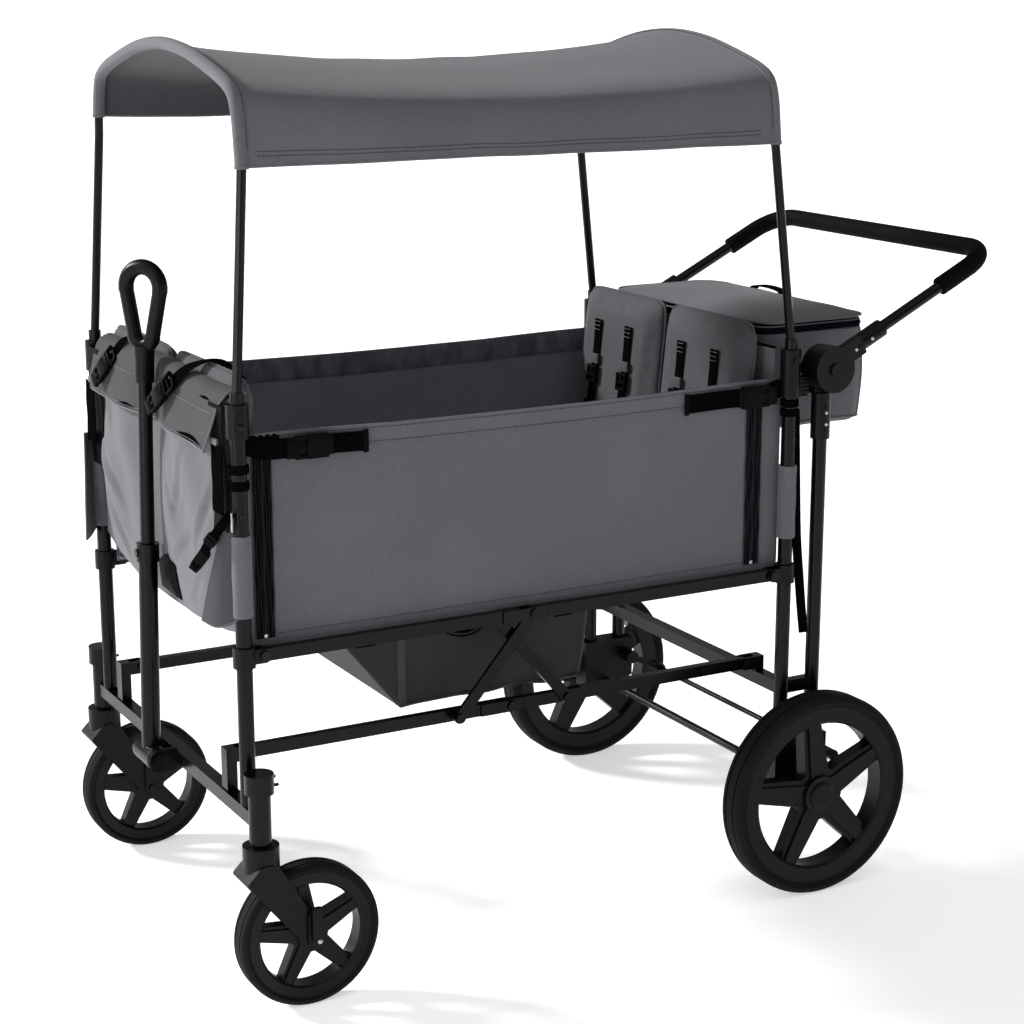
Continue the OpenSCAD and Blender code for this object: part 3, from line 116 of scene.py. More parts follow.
class WagonColours(bpy.types.PropertyGroup):
    """Colours of the finishes."""

    def colour(label, about, rgb):
        return bpy.props.FloatVectorProperty(
            name=label, description=about, default=rgb, size=3, min=0.0, max=1.0, subtype="COLOR")

    cloth: colour("Cloth", "Gray coated cloth of the walls and canopy", (0.100, 0.098, 0.112))
    # Lining: lighter than the lining's own dark tone, painted fill light inside the walls and on the floor
    # mats
    lining: colour("Lining", "Inner side of the walls, and the floor mats", (0.183, 0.172, 0.205))
    # Shaded cloth: the gray cloth at half its tone, painted shade for the pieces that sit in shadow
    shade: colour("Shaded cloth", "Darker cloth of the seat backs and canopy lining", (0.050, 0.049, 0.056))
    band: colour("Band", "Charcoal nylon inside the wall tops", (0.078, 0.077, 0.092))
    nylon: colour("Nylon", "Black nylon of the gathers, gaps and low pouch", (0.0020, 0.0020, 0.0022))
    webbing: colour("Webbing", "Strap webbing", (0.0020, 0.0020, 0.0022))
    thread: colour("Thread", "Sewing thread", (0.17, 0.17, 0.185))
    steel: colour("Steel", "Powder coat of the frame tubes", (0.0014, 0.0014, 0.0015))
    plastic: colour("Plastic", "Moulded fittings", (0.0024, 0.0024, 0.0026))
    rubber: colour("Rubber", "Foamed tyres", (0.0062, 0.0062, 0.0064))
    zinc: colour("Zinc", "Rivets and zip stops", (0.52, 0.52, 0.53))
    bolts: colour("Bolts", "Blackened bolts, pins and rods", (0.020, 0.020, 0.021))


class Flow:
    """A value in a finish's nodes. Arithmetic on it adds the node that works it out."""

    def __init__(self, finish, socket):
        self.finish = finish
        self.socket = socket

    def math(self, operation, *values):
        return self.finish.math(operation, *values)

    def __add__(self, other):
        return self.math("ADD", self, other)

    def __radd__(self, other):
        return self.math("ADD", other, self)

    def __sub__(self, other):
        return self.math("SUBTRACT", self, other)

    def __rsub__(self, other):
        return self.math("SUBTRACT", other, self)

    def __mul__(self, other):
        return self.math("MULTIPLY", self, other)

    def __rmul__(self, other):
        return self.math("MULTIPLY", other, self)

    def __truediv__(self, other):
        return self.math("DIVIDE", self, other)

    def __rtruediv__(self, other):
        return self.math("DIVIDE", other, self)

    def __abs__(self):
        return self.math("ABSOLUTE", self)

    def __gt__(self, other):
        return self.math("GREATER_THAN", self, other)

    def sine(self):
        return self.math("SINE", self)

    def between(self, low, high):
        """0 at low to 1 at high, with soft ends."""
        return self.finish.node(
            "ShaderNodeMapRange", {"interpolation_type": "SMOOTHSTEP"},
            {"Value": self, "From Min": low, "From Max": high}, "Result")

    def blend(self, low, high):
        """Colour low where this is 0, colour high where it is 1."""
        return self.finish.node(
            "ShaderNodeMix", {"data_type": "RGBA", "clamp_factor": True}, {0: self, 6: low, 7: high}, 2)

    def parts(self):
        split = self.finish.node("ShaderNodeSeparateXYZ", {}, {0: self}).socket.node
        return [Flow(self.finish, split.outputs[k]) for k in range(3)]


class Finish:
    """One procedural material."""

    def __init__(self, name, **constants):
        self.material = bpy.data.materials.new(name)
        self.material.use_nodes = True
        self.tree = self.material.node_tree
        self.surface = self.tree.nodes["Principled BSDF"]
        for socket, value in constants.items():
            self.surface.inputs[socket.replace("_", " ")].default_value = value

    def node(self, kind, settings, sockets, out=0):
        made = self.tree.nodes.new(kind)
        for key, value in settings.items():
            setattr(made, key, value)
        for key, value in sockets.items():
            self.feed(made.inputs[key], value)
        return Flow(self, made.outputs[out])

    def feed(self, socket, value):
        if isinstance(value, Flow):
            self.tree.links.new(value.socket, socket)
        else:
            socket.default_value = value

    def math(self, operation, *values):
        return self.node("ShaderNodeMath", {"operation": operation}, dict(enumerate(values)))

    def put(self, socket, value):
        self.feed(self.surface.inputs[socket], value)

    def place(self):
        """Where a point is on its piece, in metres."""
        return self.node("ShaderNodeTexCoord", {}, {}, "Object")

    def cloud(self, scale, detail=3.0, stretch=None):
        """Soft noise about one half."""
        where = self.place()
        if stretch:
            where = self.node("ShaderNodeVectorMath", {"operation": "MULTIPLY"}, {0: where, 1: stretch})
        return self.node("ShaderNodeTexNoise", {}, {"Vector": where, "Scale": scale, "Detail": detail})

    def threads(self):
        """How far along and across the cloth a point is, whichever way its face looks."""
        facing = self.node("ShaderNodeTexCoord", {}, {}, "Normal")
        nx, _, nz = self.node("ShaderNodeVectorMath", {"operation": "ABSOLUTE"}, {0: facing}).parts()
        x, y, z = self.place().parts()
        return x + (y - x) * (nx > 0.7), z + (y - z) * (nz > 0.75)

    def raise_by(self, height, strength, distance):
        self.put("Normal", self.node(
            "ShaderNodeBump", {}, {"Strength": strength, "Distance": distance, "Height": height}))


def tint(rgb, gain):
    return [min(1.0, c * gain) for c in rgb] + [1.0]


def woven(name, rgb, pitch, rough, spread, sheen, bump=0.35):
    """A plain-weave cloth with uneven yarns, faint rubbing and soft creases."""
    f = Finish(name, Sheen_Weight=sheen, Sheen_Roughness=0.5, Specular_IOR_Level=0.2)
    across, along = f.threads()
    weave = (across * (TAU / pitch)).sine() * (along * (TAU / pitch)).sine()
    yarns = f.cloud(140.0, 2.0, (1.0, 1.0, 9.0)) + f.cloud(140.0, 2.0, (9.0, 9.0, 1.0))
    speckle = f.cloud(1500.0, 1.0)
    rubbed = f.cloud(7.0, 5.0).between(0.42, 0.78)
    shade = 0.16 * weave + 0.7 * (yarns - 0.5) + 0.5 * speckle - 0.15 + 0.28 * rubbed
    f.put("Base Color", shade.blend(tint(rgb, 1 - spread), tint(rgb, 1 + spread)))
    f.put("Roughness", rough + 0.1 * (rubbed - 0.5))
    crease = f.cloud(38.0, 4.0) * 1.4
    f.raise_by(weave * 0.35 + crease + 0.25 * yarns, bump, 0.0012)
    return f


def ribbed(name, rgb, pitch):
    """Strap webbing: fine ribs along its length with a herringbone of thicker picks."""
    f = Finish(name, Specular_IOR_Level=0.0)
    across, along = f.threads()
    picks = ((across + along) * (TAU / pitch)).sine() * ((across - along) * (TAU / pitch)).sine()
    worn = f.cloud(60.0, 4.0).between(0.45, 0.8)
    f.put("Base Color", (0.5 + 0.35 * picks + 0.25 * worn).blend(tint(rgb, 0.55), tint(rgb, 1.9)))
    f.put("Roughness", 0.62 + 0.12 * worn)
    f.raise_by(picks, 0.5, 0.0007)
    return f


def coated(name, rgb, rough, peel, scuff, **constants):
    """Painted or moulded hard surface with a fine texture, dust and light scuffs."""
    f = Finish(name, **constants)
    grain = f.cloud(peel, 3.0)
    dust = f.cloud(14.0, 6.0).between(0.5, 0.82)
    scratch = f.cloud(90.0, 2.0, (1.0, 12.0, 1.0)).between(0.62, 0.75) * f.cloud(9.0).between(0.5, 0.7)
    f.put("Base Color", (0.35 * dust + 0.6 * scratch * scuff).blend(tint(rgb, 0.85), tint(rgb, 2.2)))
    f.put("Roughness", rough + 0.14 * dust + 0.12 * (grain - 0.5))
    f.raise_by(grain, 0.16, 0.0005)
    return f


def foamed(name, rgb, cells, tread=None, shine=0.12):
    """Closed-cell foam with fine pores and a dusty bloom; a tyre also gets tread notches and rings."""
    f = Finish(name, Specular_IOR_Level=shine)
    pores = f.node("ShaderNodeTexVoronoi", {}, {"Vector": f.place(), "Scale": cells})
    bloom = f.cloud(18.0, 5.0).between(0.4, 0.8)
    f.put("Base Color", (0.3 * pores + 0.55 * bloom).blend(tint(rgb, 0.75), tint(rgb, 1.7)))
    f.put("Roughness", 0.74 + 0.14 * bloom)
    height = pores
    if tread:
        heart, radius, wide = tread
        x, y, z = f.node("ShaderNodeVectorMath", {"operation": "SUBTRACT"}, {0: f.place(), 1: heart}).parts()
        out = f.math("SQRT", x * x + z * z) / radius
        turn = f.math("ARCTAN2", z, x)
        shoulder = (abs(y) / wide).between(0.14, 0.22)
        notches = (turn * 64 + abs(y) * 260).sine().between(0.35, 0.6) * shoulder * out.between(0.945, 0.965)
        rings = (out * 190).sine().between(0.5, 0.9) * (1 - out.between(0.93, 0.945))
        height = pores - 5.0 * notches - 1.6 * rings
    f.raise_by(height, 0.35, 0.0007)
    return f


def plated(name, rgb):
    """Zinc-plated steel with a brushed grain."""
    f = Finish(name, Metallic=1.0)
    brush = f.cloud(260.0, 2.0, (1.0, 1.0, 8.0))
    f.put("Base Color", brush.blend(tint(rgb, 0.75), tint(rgb, 1.15)))
    f.put("Roughness", 0.26 + 0.2 * brush)
    f.raise_by(brush, 0.1, 0.0002)
    return f


def creased(name, rgb):
    """Thin crumpled nylon, with painted shade in the hollows of its folds and painted highlights on their
    crests.
    """
    f = Finish(name, Specular_IOR_Level=0.02)
    folds_and_painted_shade = f.cloud(55.0, 5.0, (1.0, 1.0, 0.45))
    across, along = f.threads()
    weave = (across * (TAU / 0.0011)).sine() * (along * (TAU / 0.0011)).sine()
    # The colour follows the fold height: painted shade in the hollows, painted highlights on the crests
    f.put("Base Color", folds_and_painted_shade.blend(tint(rgb, 0.35), tint(rgb, 3.4)))
    f.put("Roughness", 0.32 + 0.2 * folds_and_painted_shade)
    f.raise_by(folds_and_painted_shade * 3.0 + 0.1 * weave, 0.7, 0.004)
    return f


FINISHES = {}


def finishes():
    """The finishes by name, made once."""
    if not FINISHES:
        c = bpy.context.scene.wagon_colours
        FINISHES.update({
            "cloth": woven("gray_coated_cloth", c.cloth, 0.0016, 0.74, 0.30, 0.18),
            # Lining: painted fill light, lighter than the lining's own dark tone
            "lining": woven("lining_with_painted_light", c.lining, 0.0014, 0.66, 0.35, 0.10),
            # Shaded cloth: painted shade, a darker copy of the gray cloth
            "shade": woven("painted_shade_gray_cloth", c.shade, 0.0016, 0.74, 0.30, 0.12),
            # Deep cloth: the shaded cloth at half again, painted shade for the flap and the under basket
            "deep": woven("deep_painted_shade_cloth", tuple(v * 0.5 for v in c.shade), 0.0016, 0.74, 0.30, 0.10),
            "nylon": creased("black_nylon_band", c.nylon),
            "band": creased("charcoal_nylon_band", c.band),
            "webbing": ribbed("strap_webbing", c.webbing, 0.0034),
            "tape": ribbed("zip_tape", (c.webbing[0] * 2.0, c.webbing[1] * 2.1, c.webbing[2] * 2.8), 0.0020),
            "thread": woven("sewing_thread", c.thread, 0.0006, 0.7, 0.2, 0.2),
            "dark_thread": woven("dark_thread", c.webbing, 0.0006, 0.7, 0.2, 0.2),
            "steel": coated("powder_coated_tube", c.steel, 0.24, 900.0, 0.5,
                            Specular_IOR_Level=0.13, Coat_Weight=0.05, Coat_Roughness=0.12),
            "plastic": coated("moulded_plastic", c.plastic, 0.36, 1500.0, 0.8, Specular_IOR_Level=0.14),
            "clip": coated("buckle_plastic", c.plastic, 0.30, 1500.0, 0.8, Specular_IOR_Level=0.04),
            "rim": coated("moulded_rim", tuple(v * 1.2 for v in c.plastic), 0.36, 1200.0, 1.0,
                          Specular_IOR_Level=0.16),
            "grip": foamed("grip_foam", tuple(v * 0.42 for v in c.rubber), 700.0, shine=0.05),
            "zinc": plated("zinc_plate", c.zinc),
            "bolts": plated("blackened_steel", c.bolts),
        })
    return FINISHES


# How soft pieces close up when the frame folds: the way, the place they are held at and the share they keep
FOLDED_SHARE = 0.497
WALL_FOLD = ((1, 0, 0), (WALL_LOW.x, 0, WALL_LOW.z), FOLDED_SHARE)
# How the front panel is to give way to the pull handle's grip when that slides down
PANEL_GIVE = ((1, 0, 0), (FRONT_X + 12, 0, 470), 0.30, "pull_extend")


def placed(name, data):
    """A new object in the scene."""
    thing = bpy.data.objects.new(name, data)
    bpy.context.scene.collection.objects.link(thing)
    return thing


def piece(name, parts, finish, body, fold=None, replaces=(), sharp=42):
    """One piece of the object from lists of points, in millimetres, and faces."""
    points, faces = [], []
    for made, joined in parts:
        start = len(points)
        points += [[c * MM for c in p] for p in made]
        faces += [[k + start for k in f] for f in joined]
    mesh = bpy.data.meshes.new(name)
    mesh.from_pydata(points, [], faces)
    mesh.validate()
    made = bmesh.new()
    made.from_mesh(mesh)
    bmesh.ops.recalc_face_normals(made, faces=made.faces)
    made.to_mesh(mesh)
    made.free()
    mesh.shade_smooth()
    mesh.set_sharp_from_angle(angle=math.radians(sharp))
    mesh.materials.append(finishes()[finish].material)
    thing = placed(name, mesh)
    settle(thing, finish, body, fold, replaces)
    return thing


def settle(thing, finish, body, fold=None, replaces=()):
    """Says which body carries a piece and hides the CAD parts it stands for; a fold only gives it a mesh of
    its own, and the finish is not used.
    """
    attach(thing, body)
    if fold:
        axis, anchor, keep, *joint = fold
        joint[0] if joint else "frame_fold"
        [c * MM for c in anchor]
        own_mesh(thing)
        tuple(axis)
    if replaces:
        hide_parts(*replaces)


def vec(*parts):
    """A point or a way."""
    return np.array(parts, float)


def hump(t):
    """0 at both ends of 0 to 1, and 1 at its middle."""
    return math.sin(math.pi * t)


def unit(v):
    """The same way, one long."""
    v = np.asarray(v, float)
    return v / max(1e-9, np.linalg.norm(v))


def border(rows, cols):
    """The places of a grid's outer points, in order round it."""
    wide = cols + 1
    rim = list(range(wide)) + [i * wide + cols for i in range(1, rows + 1)]
    rim += [rows * wide + j for j in reversed(range(cols))]
    return rim + [i * wide for i in reversed(range(1, rows))]


def skin(rings, n, closed=False):
    """The faces through rings of n points each; the ends are capped, or joined where the skin is closed."""
    faces = []
    for i in range(rings if closed else rings - 1):
        a, b = i * n, (i + 1) % rings * n
        faces += [[a + k, a + (k + 1) % n, b + (k + 1) % n, b + k] for k in range(n)]
    if not closed:
        faces += [list(reversed(range(n))), list(range((rings - 1) * n, rings * n))]
    return faces


def runs(path):
    """How far along a line each of its points is."""
    return np.concatenate([[0], np.cumsum(np.linalg.norm(np.diff(path, axis=0), axis=1))])


def sheet(at, rows, cols, thick):
    """Cloth whose middle is at(s, t) for s and t from 0 to 1."""
    mid = np.array([[at(i / rows, j / cols) for j in range(cols + 1)] for i in range(rows + 1)], float)
    out = np.cross(np.gradient(mid, axis=0), np.gradient(mid, axis=1))
    out /= np.maximum(np.linalg.norm(out, axis=2), 1e-9)[..., None]
    wide = cols + 1
    count = (rows + 1) * wide
    points = list((mid + out * thick / 2).reshape(-1, 3)) + list((mid - out * thick / 2).reshape(-1, 3))
    faces = []
    for i in range(rows):
        for j in range(cols):
            a = i * wide + j
            quad = [a, a + wide, a + wide + 1, a + 1]
            faces.append(quad)
            faces.append([k + count for k in reversed(quad)])
    rim = border(rows, cols)
    for a, b in zip(rim, rim[1:] + rim[:1]):
        faces.append([a, b, b + count, a + count])
    return points, faces


def sweep(path, section, across, closed=False):
    """A section of (sideways, outward) points carried along a path; across is one way, or one a point."""
    path = [np.asarray(p, float) for p in path]
    ways = np.broadcast_to(np.asarray(across, float), (len(path), 3))
    n = len(path)
    points = []
    for k in range(n):
        ahead = unit(path[(k + 1) % n if closed else min(k + 1, n - 1)] - path[(k - 1) if closed or k else 0])
        side = unit(ways[k] - ahead * np.dot(ways[k], ahead))
        out = np.cross(side, ahead)
        points += [path[k] + side * u + out * v for u, v in section]
    return points, skin(n, len(section), closed)


def tube(path, radius, sides=10, across=(0.31, 0.52, 0.79), closed=False):
    ring = [(radius * math.cos(TAU * k / sides), radius * math.sin(TAU * k / sides)) for k in range(sides)]
    return sweep(path, ring, across, closed)


def piped(at, steps, radius):
    """A thin tube along at(0) to at(1), such as the binding of an edge."""
    return tube([at(k / steps) for k in range(steps + 1)], radius, 8)


def strap(path, across, wide, thick=1.8):
    """Webbing with its rolled edges; across is the way its width runs."""
    w, t = wide / 2, thick / 2
    return sweep(path, [(-w, -t * 0.4), (-w + t, -t), (w - t, -t), (w, -t * 0.4), (w, t * 0.4), (w - t, t),
                        (-w + t, t), (-w, t * 0.4)], across)


def curve(points, steps=8):
    """A smooth line through points."""
    p = [np.asarray(q, float) for q in points]
    p = [2 * p[0] - p[1]] + p + [2 * p[-1] - p[-2]]
    line = []
    for k in range(1, len(p) - 2):
        for s in range(steps):
            t = s / steps
            line.append(0.5 * (2 * p[k] + (p[k + 1] - p[k - 1]) * t
                               + (2 * p[k - 1] - 5 * p[k] + 4 * p[k + 1] - p[k + 2]) * t * t
                               + (3 * p[k] - p[k - 1] - 3 * p[k + 1] + p[k + 2]) * t ** 3))
    return line + [p[-2]]


def lathe(profile, centre, axis, sides=16):
    """A turned piece: (radius, height) points about an axis."""
    up = unit(axis)
    side = unit(np.cross(up, (0.3, 0.5, 0.81)))
    other = np.cross(up, side)
    points = []
    for r, h in profile:
        points += [np.asarray(centre, float) + up * h + (side * math.cos(TAU * k / sides)
                   + other * math.sin(TAU * k / sides)) * r for k in range(sides)]
    return points, skin(len(profile), sides)


def round_post(x, side, profile, sides=22):
    """A wrap round a post, from how far it stands proud at each height."""
    return lathe([(POST_R + proud, z) for proud, z in profile], (x, side * POST_Y, 0), (0, 0, 1), sides)


def rivet(centre, axis, radius, rise):
    """A domed head with a flange."""
    return lathe([(radius, -0.4), (radius, rise * 0.25), (radius * 0.86, rise * 0.6),
                  (radius * 0.5, rise * 0.92), (radius * 0.15, rise)], centre, axis, 14)


def block(centre, size, soft, axes=((1, 0, 0), (0, 1, 0), (0, 0, 1))):
    """A moulded block with rounded edges; axes are the ways its three sizes run."""
    made = bmesh.new()
    bmesh.ops.create_cube(made, size=1.0)
    for v in made.verts:
        v.co = Vector([c * s for c, s in zip(v.co, size)])
    bmesh.ops.bevel(made, geom=list(made.edges), offset=soft, segments=2, profile=0.6, affect="EDGES")
    turn = np.array([unit(a) for a in axes], float)
    points = [np.asarray(centre, float) + np.array(v.co) @ turn for v in made.verts]
    made.verts.index_update()
    faces = [[v.index for v in f.verts] for f in made.faces]
    made.free()
    return points, faces


def evenly(path, step):
    """Points every step along a line."""
    path = np.array(path, float)
    run = runs(path)
    return [np.array([np.interp(a, run, path[:, k]) for k in range(3)]) for a in np.arange(0, run[-1], step)]


def stitches(path, out):
    """A row of stitches lying on a surface that looks out."""
    sizes = bpy.context.scene.wagon_sizes
    step = (sizes.stitch + sizes.stitch_gap) / MM
    thread = sizes.thread / MM
    share = sizes.stitch / (sizes.stitch + sizes.stitch_gap)
    spots = evenly(path, step)
    made = []
    for a, b in zip(spots, spots[1:]):
        end = a + (b - a) * share
        made.append(tube([a, (a + end) / 2 + unit(out) * thread * 0.7, end], thread, 5, out))
    return made


def buckle(centre, along, across, long=50, wide=33, deep=8.5):
    """A side-release buckle: socket half, two springing prongs and the plug half with its strap bar."""
    along, across = unit(along), unit(across)
    out = np.cross(along, across)
    axes = (along, across, out)
    c = np.asarray(centre, float)
    made = [block(c + along * long * 0.19, (long * 0.5, wide, deep), 2.6, axes),
            block(c + along * long * 0.46, (long * 0.16, wide * 0.82, deep * 0.62), 1.8, axes),
            block(c - along * long * 0.36, (long * 0.26, wide * 0.86, deep * 0.74), 2.2, axes),
            block(c - along * long * 0.14, (long * 0.3, wide * 0.26, deep * 0.55), 1.4, axes),
            block(c - along * long * 0.14, (long * 0.36, wide * 0.76, deep * 0.25), 0.6, axes)]
    for s in (-1, 1):
        made.append(block(c - along * long * 0.14 + across * s * wide * 0.4,
                          (long * 0.32, wide * 0.17, deep * 0.72), 1.6, axes))
    for k in range(4):
        made.append(block(c - along * long * (0.28 + 0.05 * k) + out * deep * 0.38,
                          (1.2, wide * 0.6, 1.2), 0.4, axes))
    return made


def ladder(centre, along, across, long=30, wide=32):
    """A ladder-lock adjuster: a frame with two bars the webbing runs round."""
    along, across = unit(along), unit(across)
    out = np.cross(along, across)
    axes = (along, across, out)
    c = np.asarray(centre, float)
    made = [block(c + across * s * (wide / 2 - 2), (long, 4, 5), 1.3, axes) for s in (-1, 1)]
    for share, lift in ((-0.44, 0.5), (-0.08, 1.4), (0.38, 2.2)):
        made.append(block(c + along * long * share + out * lift, (4.5, wide - 3, 4), 1.3, axes))
    return made


def rough(x, y, z, scale, seed=0.0):
    """Smooth unevenness of -1 to 1, the same every time."""
    return noise.noise(Vector((x * scale + seed, y * scale - seed, z * scale + 2 * seed)))


def bow_shape():
    """The canopy's outline across the wagon: (y, z) from the left hem over the ridge to the right one."""
    half = (corners("front_bow")[1].y + corners("front_bow")[0].y) / 2
    shares = [(1, 0), (0.97, 0.5), (0.9, 0.68), (0.545, 0.86), (0.3, 0.955), (0, 1)]
    line = [(half - BOW_HALF * a, EAVE + (RIDGE - EAVE) * b) for a, b in shares]
    line += [(half + BOW_HALF * a, EAVE + (RIDGE - EAVE) * b) for a, b in reversed(shares[:-1])]
    for _ in range(2):
        cut = [line[0]]
        for (a, b), (c, d) in zip(line, line[1:]):
            cut += [(a * 0.75 + c * 0.25, b * 0.75 + d * 0.25), (a * 0.25 + c * 0.75, b * 0.25 + d * 0.75)]
        line = cut + [line[-1]]
    return np.array(line)


def lifted(line, by):
    """The outline moved outward."""
    ahead = np.gradient(line, axis=0)
    out = np.stack([-ahead[:, 1], ahead[:, 0]], axis=1)
    return line + by * out / np.linalg.norm(out, axis=1)[:, None]


def along_line(line, t):
    """The point at share t of a flat line's length."""
    run = runs(line)
    return [np.interp(t * run[-1], run, line[:, k]) for k in range(2)]


def cut_size(at):
    """The size that a sheet was cut to, in metres: its length each way, followed through its middle."""
    ways = ([at(k / 40, 0.5) for k in range(41)], [at(0.5, k / 40) for k in range(41)])
    return tuple(float(runs(np.array(way))[-1]) * MM for way in ways)


class WAGON_OT_finishes(bpy.types.Operator):
    """Gives every frame part its paint, plastic, foam or plating and breaks the sharp edges of the plastic
    parts
    """

    bl_idname = "wagon.finishes"
    bl_label = "Finish the frame"

    def execute(self, context):
        by_slot = {"frame_steel": "steel", "bolt_steel": "bolts", "black_plastic": "plastic",
                   "tyre_foam": "tyre", "grip_foam": "grip",
                   "gray_fabric": "cloth", "black_fabric": "webbing"}
        slots = {s["node"]: s["material_slot"] for s in frame["record"]["subparts"]}
        for name, node in frame["nodes"].items():
            finish = by_slot[slots[name]]
            if "rim" in name:
                finish = "rim"
            if finish == "tyre":
                low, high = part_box(name)
                heart = node.matrix_world.inverted() @ ((low + high) / 2)
                look = foamed("tread_" + name, context.scene.wagon_colours.rubber, 900.0,
                              (heart, (high.z - low.z) / 2, high.y - low.y))
            else:
                look = finishes()[finish]
            node.data.materials.clear()
            node.data.materials.append(look.material)
            if finish in ("plastic", "rim"):
                soft = node.modifiers.new("broken_edges", "BEVEL")
                soft.width = 0.7 * MM
                soft.segments = 2
                soft.limit_method = "ANGLE"
                soft.angle_limit = math.radians(38)
                soft.harden_normals = False
        return {"FINISHED"}


class WAGON_OT_canopy(bpy.types.Operator):
    """Sews the canopy cover with a sleeve over each bow, its lining darkened with painted shade, and hemmed
    sides
    """

    bl_idname = "wagon.canopy"
    bl_label = "Sew the canopy"

    def execute(self, context):
        sizes = context.scene.wagon_sizes
        low, high = corners("canopy_cover")
        overhang, ridge_sag, side_sag = 9.0, 31.0, 5.0
        front, rear = low.x + overhang, high.x - overhang
        fold = ((1, 0, 0), (front, 0, EAVE), 0.484)

        def cloth_at(lift):
            line = lifted(bow_shape(), lift)

            def at(s, t):
                y, z = along_line(line, t * FAR_HEM_SHARE)
                dip = max(0.0, hump(s)) ** 0.65
                rise = max(0.0, (z - EAVE) / (RIDGE - EAVE))
                x = front + (rear - front) * s
                pull = rough(x, y, z, 0.011, 3.0) * 2.2 * dip
                y *= 1 - side_sag * dip * min(1, rise) / BOW_HALF
                return x, y, z - ridge_sag * dip * rise + pull
            return at

        cover, under = cloth_at(3.6), cloth_at(1.4)
        cloth = piece("canopy_top", [sheet(cover, 60, 72, sizes.cloth / MM)], "cloth", "front_bow", fold,
                      ["canopy_cover"])
        inside = lambda s, t: under(0.012 + 0.960 * s, 0.004 + 0.992 * t)
        # The lining is the gray cloth darkened with painted shade
        lining = piece("canopy_lining", [sheet(inside, 60, 72, 1.2)], "shade", "front_bow", fold)
        rows = []
        for t in (0.020, 0.029, 0.971, 0.980):
            spots = [cover(s / 120, t) for s in range(3, 118)]
            out = (0, -1 if t < 0.5 else 1, 0)
            rows += stitches([(p[0], p[1] + out[1] * 1.3, p[2]) for p in spots], out)
        seams = piece("canopy_hem_stitches", rows, "dark_thread", "front_bow", fold)
        hems = [piped(lambda s: cover(s, t), 60, 1.9) for t in (0.001, 0.999)]
        hem = piece("canopy_hems", hems, "cloth", "front_bow", fold)
        cut_size(cover)
        cut_size(inside)
        for x, body, side in ((front, "front_bow", 1), (rear, "rear_bow", -1)):
            arch = np.array([along_line(bow_shape(), FAR_HEM_SHARE * k / 90) for k in range(91)])
            path = [(x, y, z) for y, z in arch]
            radius = sizes.sleeve / MM
            ring = tube(path, radius, 14, (1, 0, 0))
            mouth = [tube([(x, arch[k][0], arch[k][1] + d) for d in (-1.5, 3)], radius + 0.6, 14, (1, 0, 0))
                     for k in (0, -1)]
            piece(body + "_sleeve", [ring] + mouth, "cloth", body)
            out = lifted(arch, radius * 0.72)
            spots = [(x + side * (radius * 0.72 + 0.5), y, z) for y, z in out[3:-3]]
            piece(body + "_sleeve_stitches", stitches(spots, (side * 0.7, 0, 0.7)), "dark_thread", body)
        return {"FINISHED"}


def wall_plane(s, t, y, side, slack):
    """A point on a side wall: s from front to rear, t from bottom to top, standing y from the middle."""
    radius = 18.0
    z = WALL_FOOT + (WALL_TOP - WALL_FOOT) * t
    end = WALL_REAR
    if z < WALL_FOOT + radius:
        end = WALL_REAR - radius + math.sqrt(max(0.0, radius ** 2 - (WALL_FOOT + radius - z) ** 2))
    x = WALL_FRONT + (end - WALL_FRONT) * s
    edge = 4 * min(s, 1 - s, 0.25)
    pucker = 0.0
    for zip_x in ZIP_XS:
        near = math.exp(-((x - zip_x) / 24) ** 2)
        pucker += near * math.sin(z / 7.5 + rough(x, 0, z, 0.02, 5.0 + side) * 3) * 0.4
    wave = rough(x, side * 40, z, 0.008, 1.0 + side) * slack * edge + pucker * slack * edge
    return x, side * (y + wave), z - 5 * t * hump(s) * edge


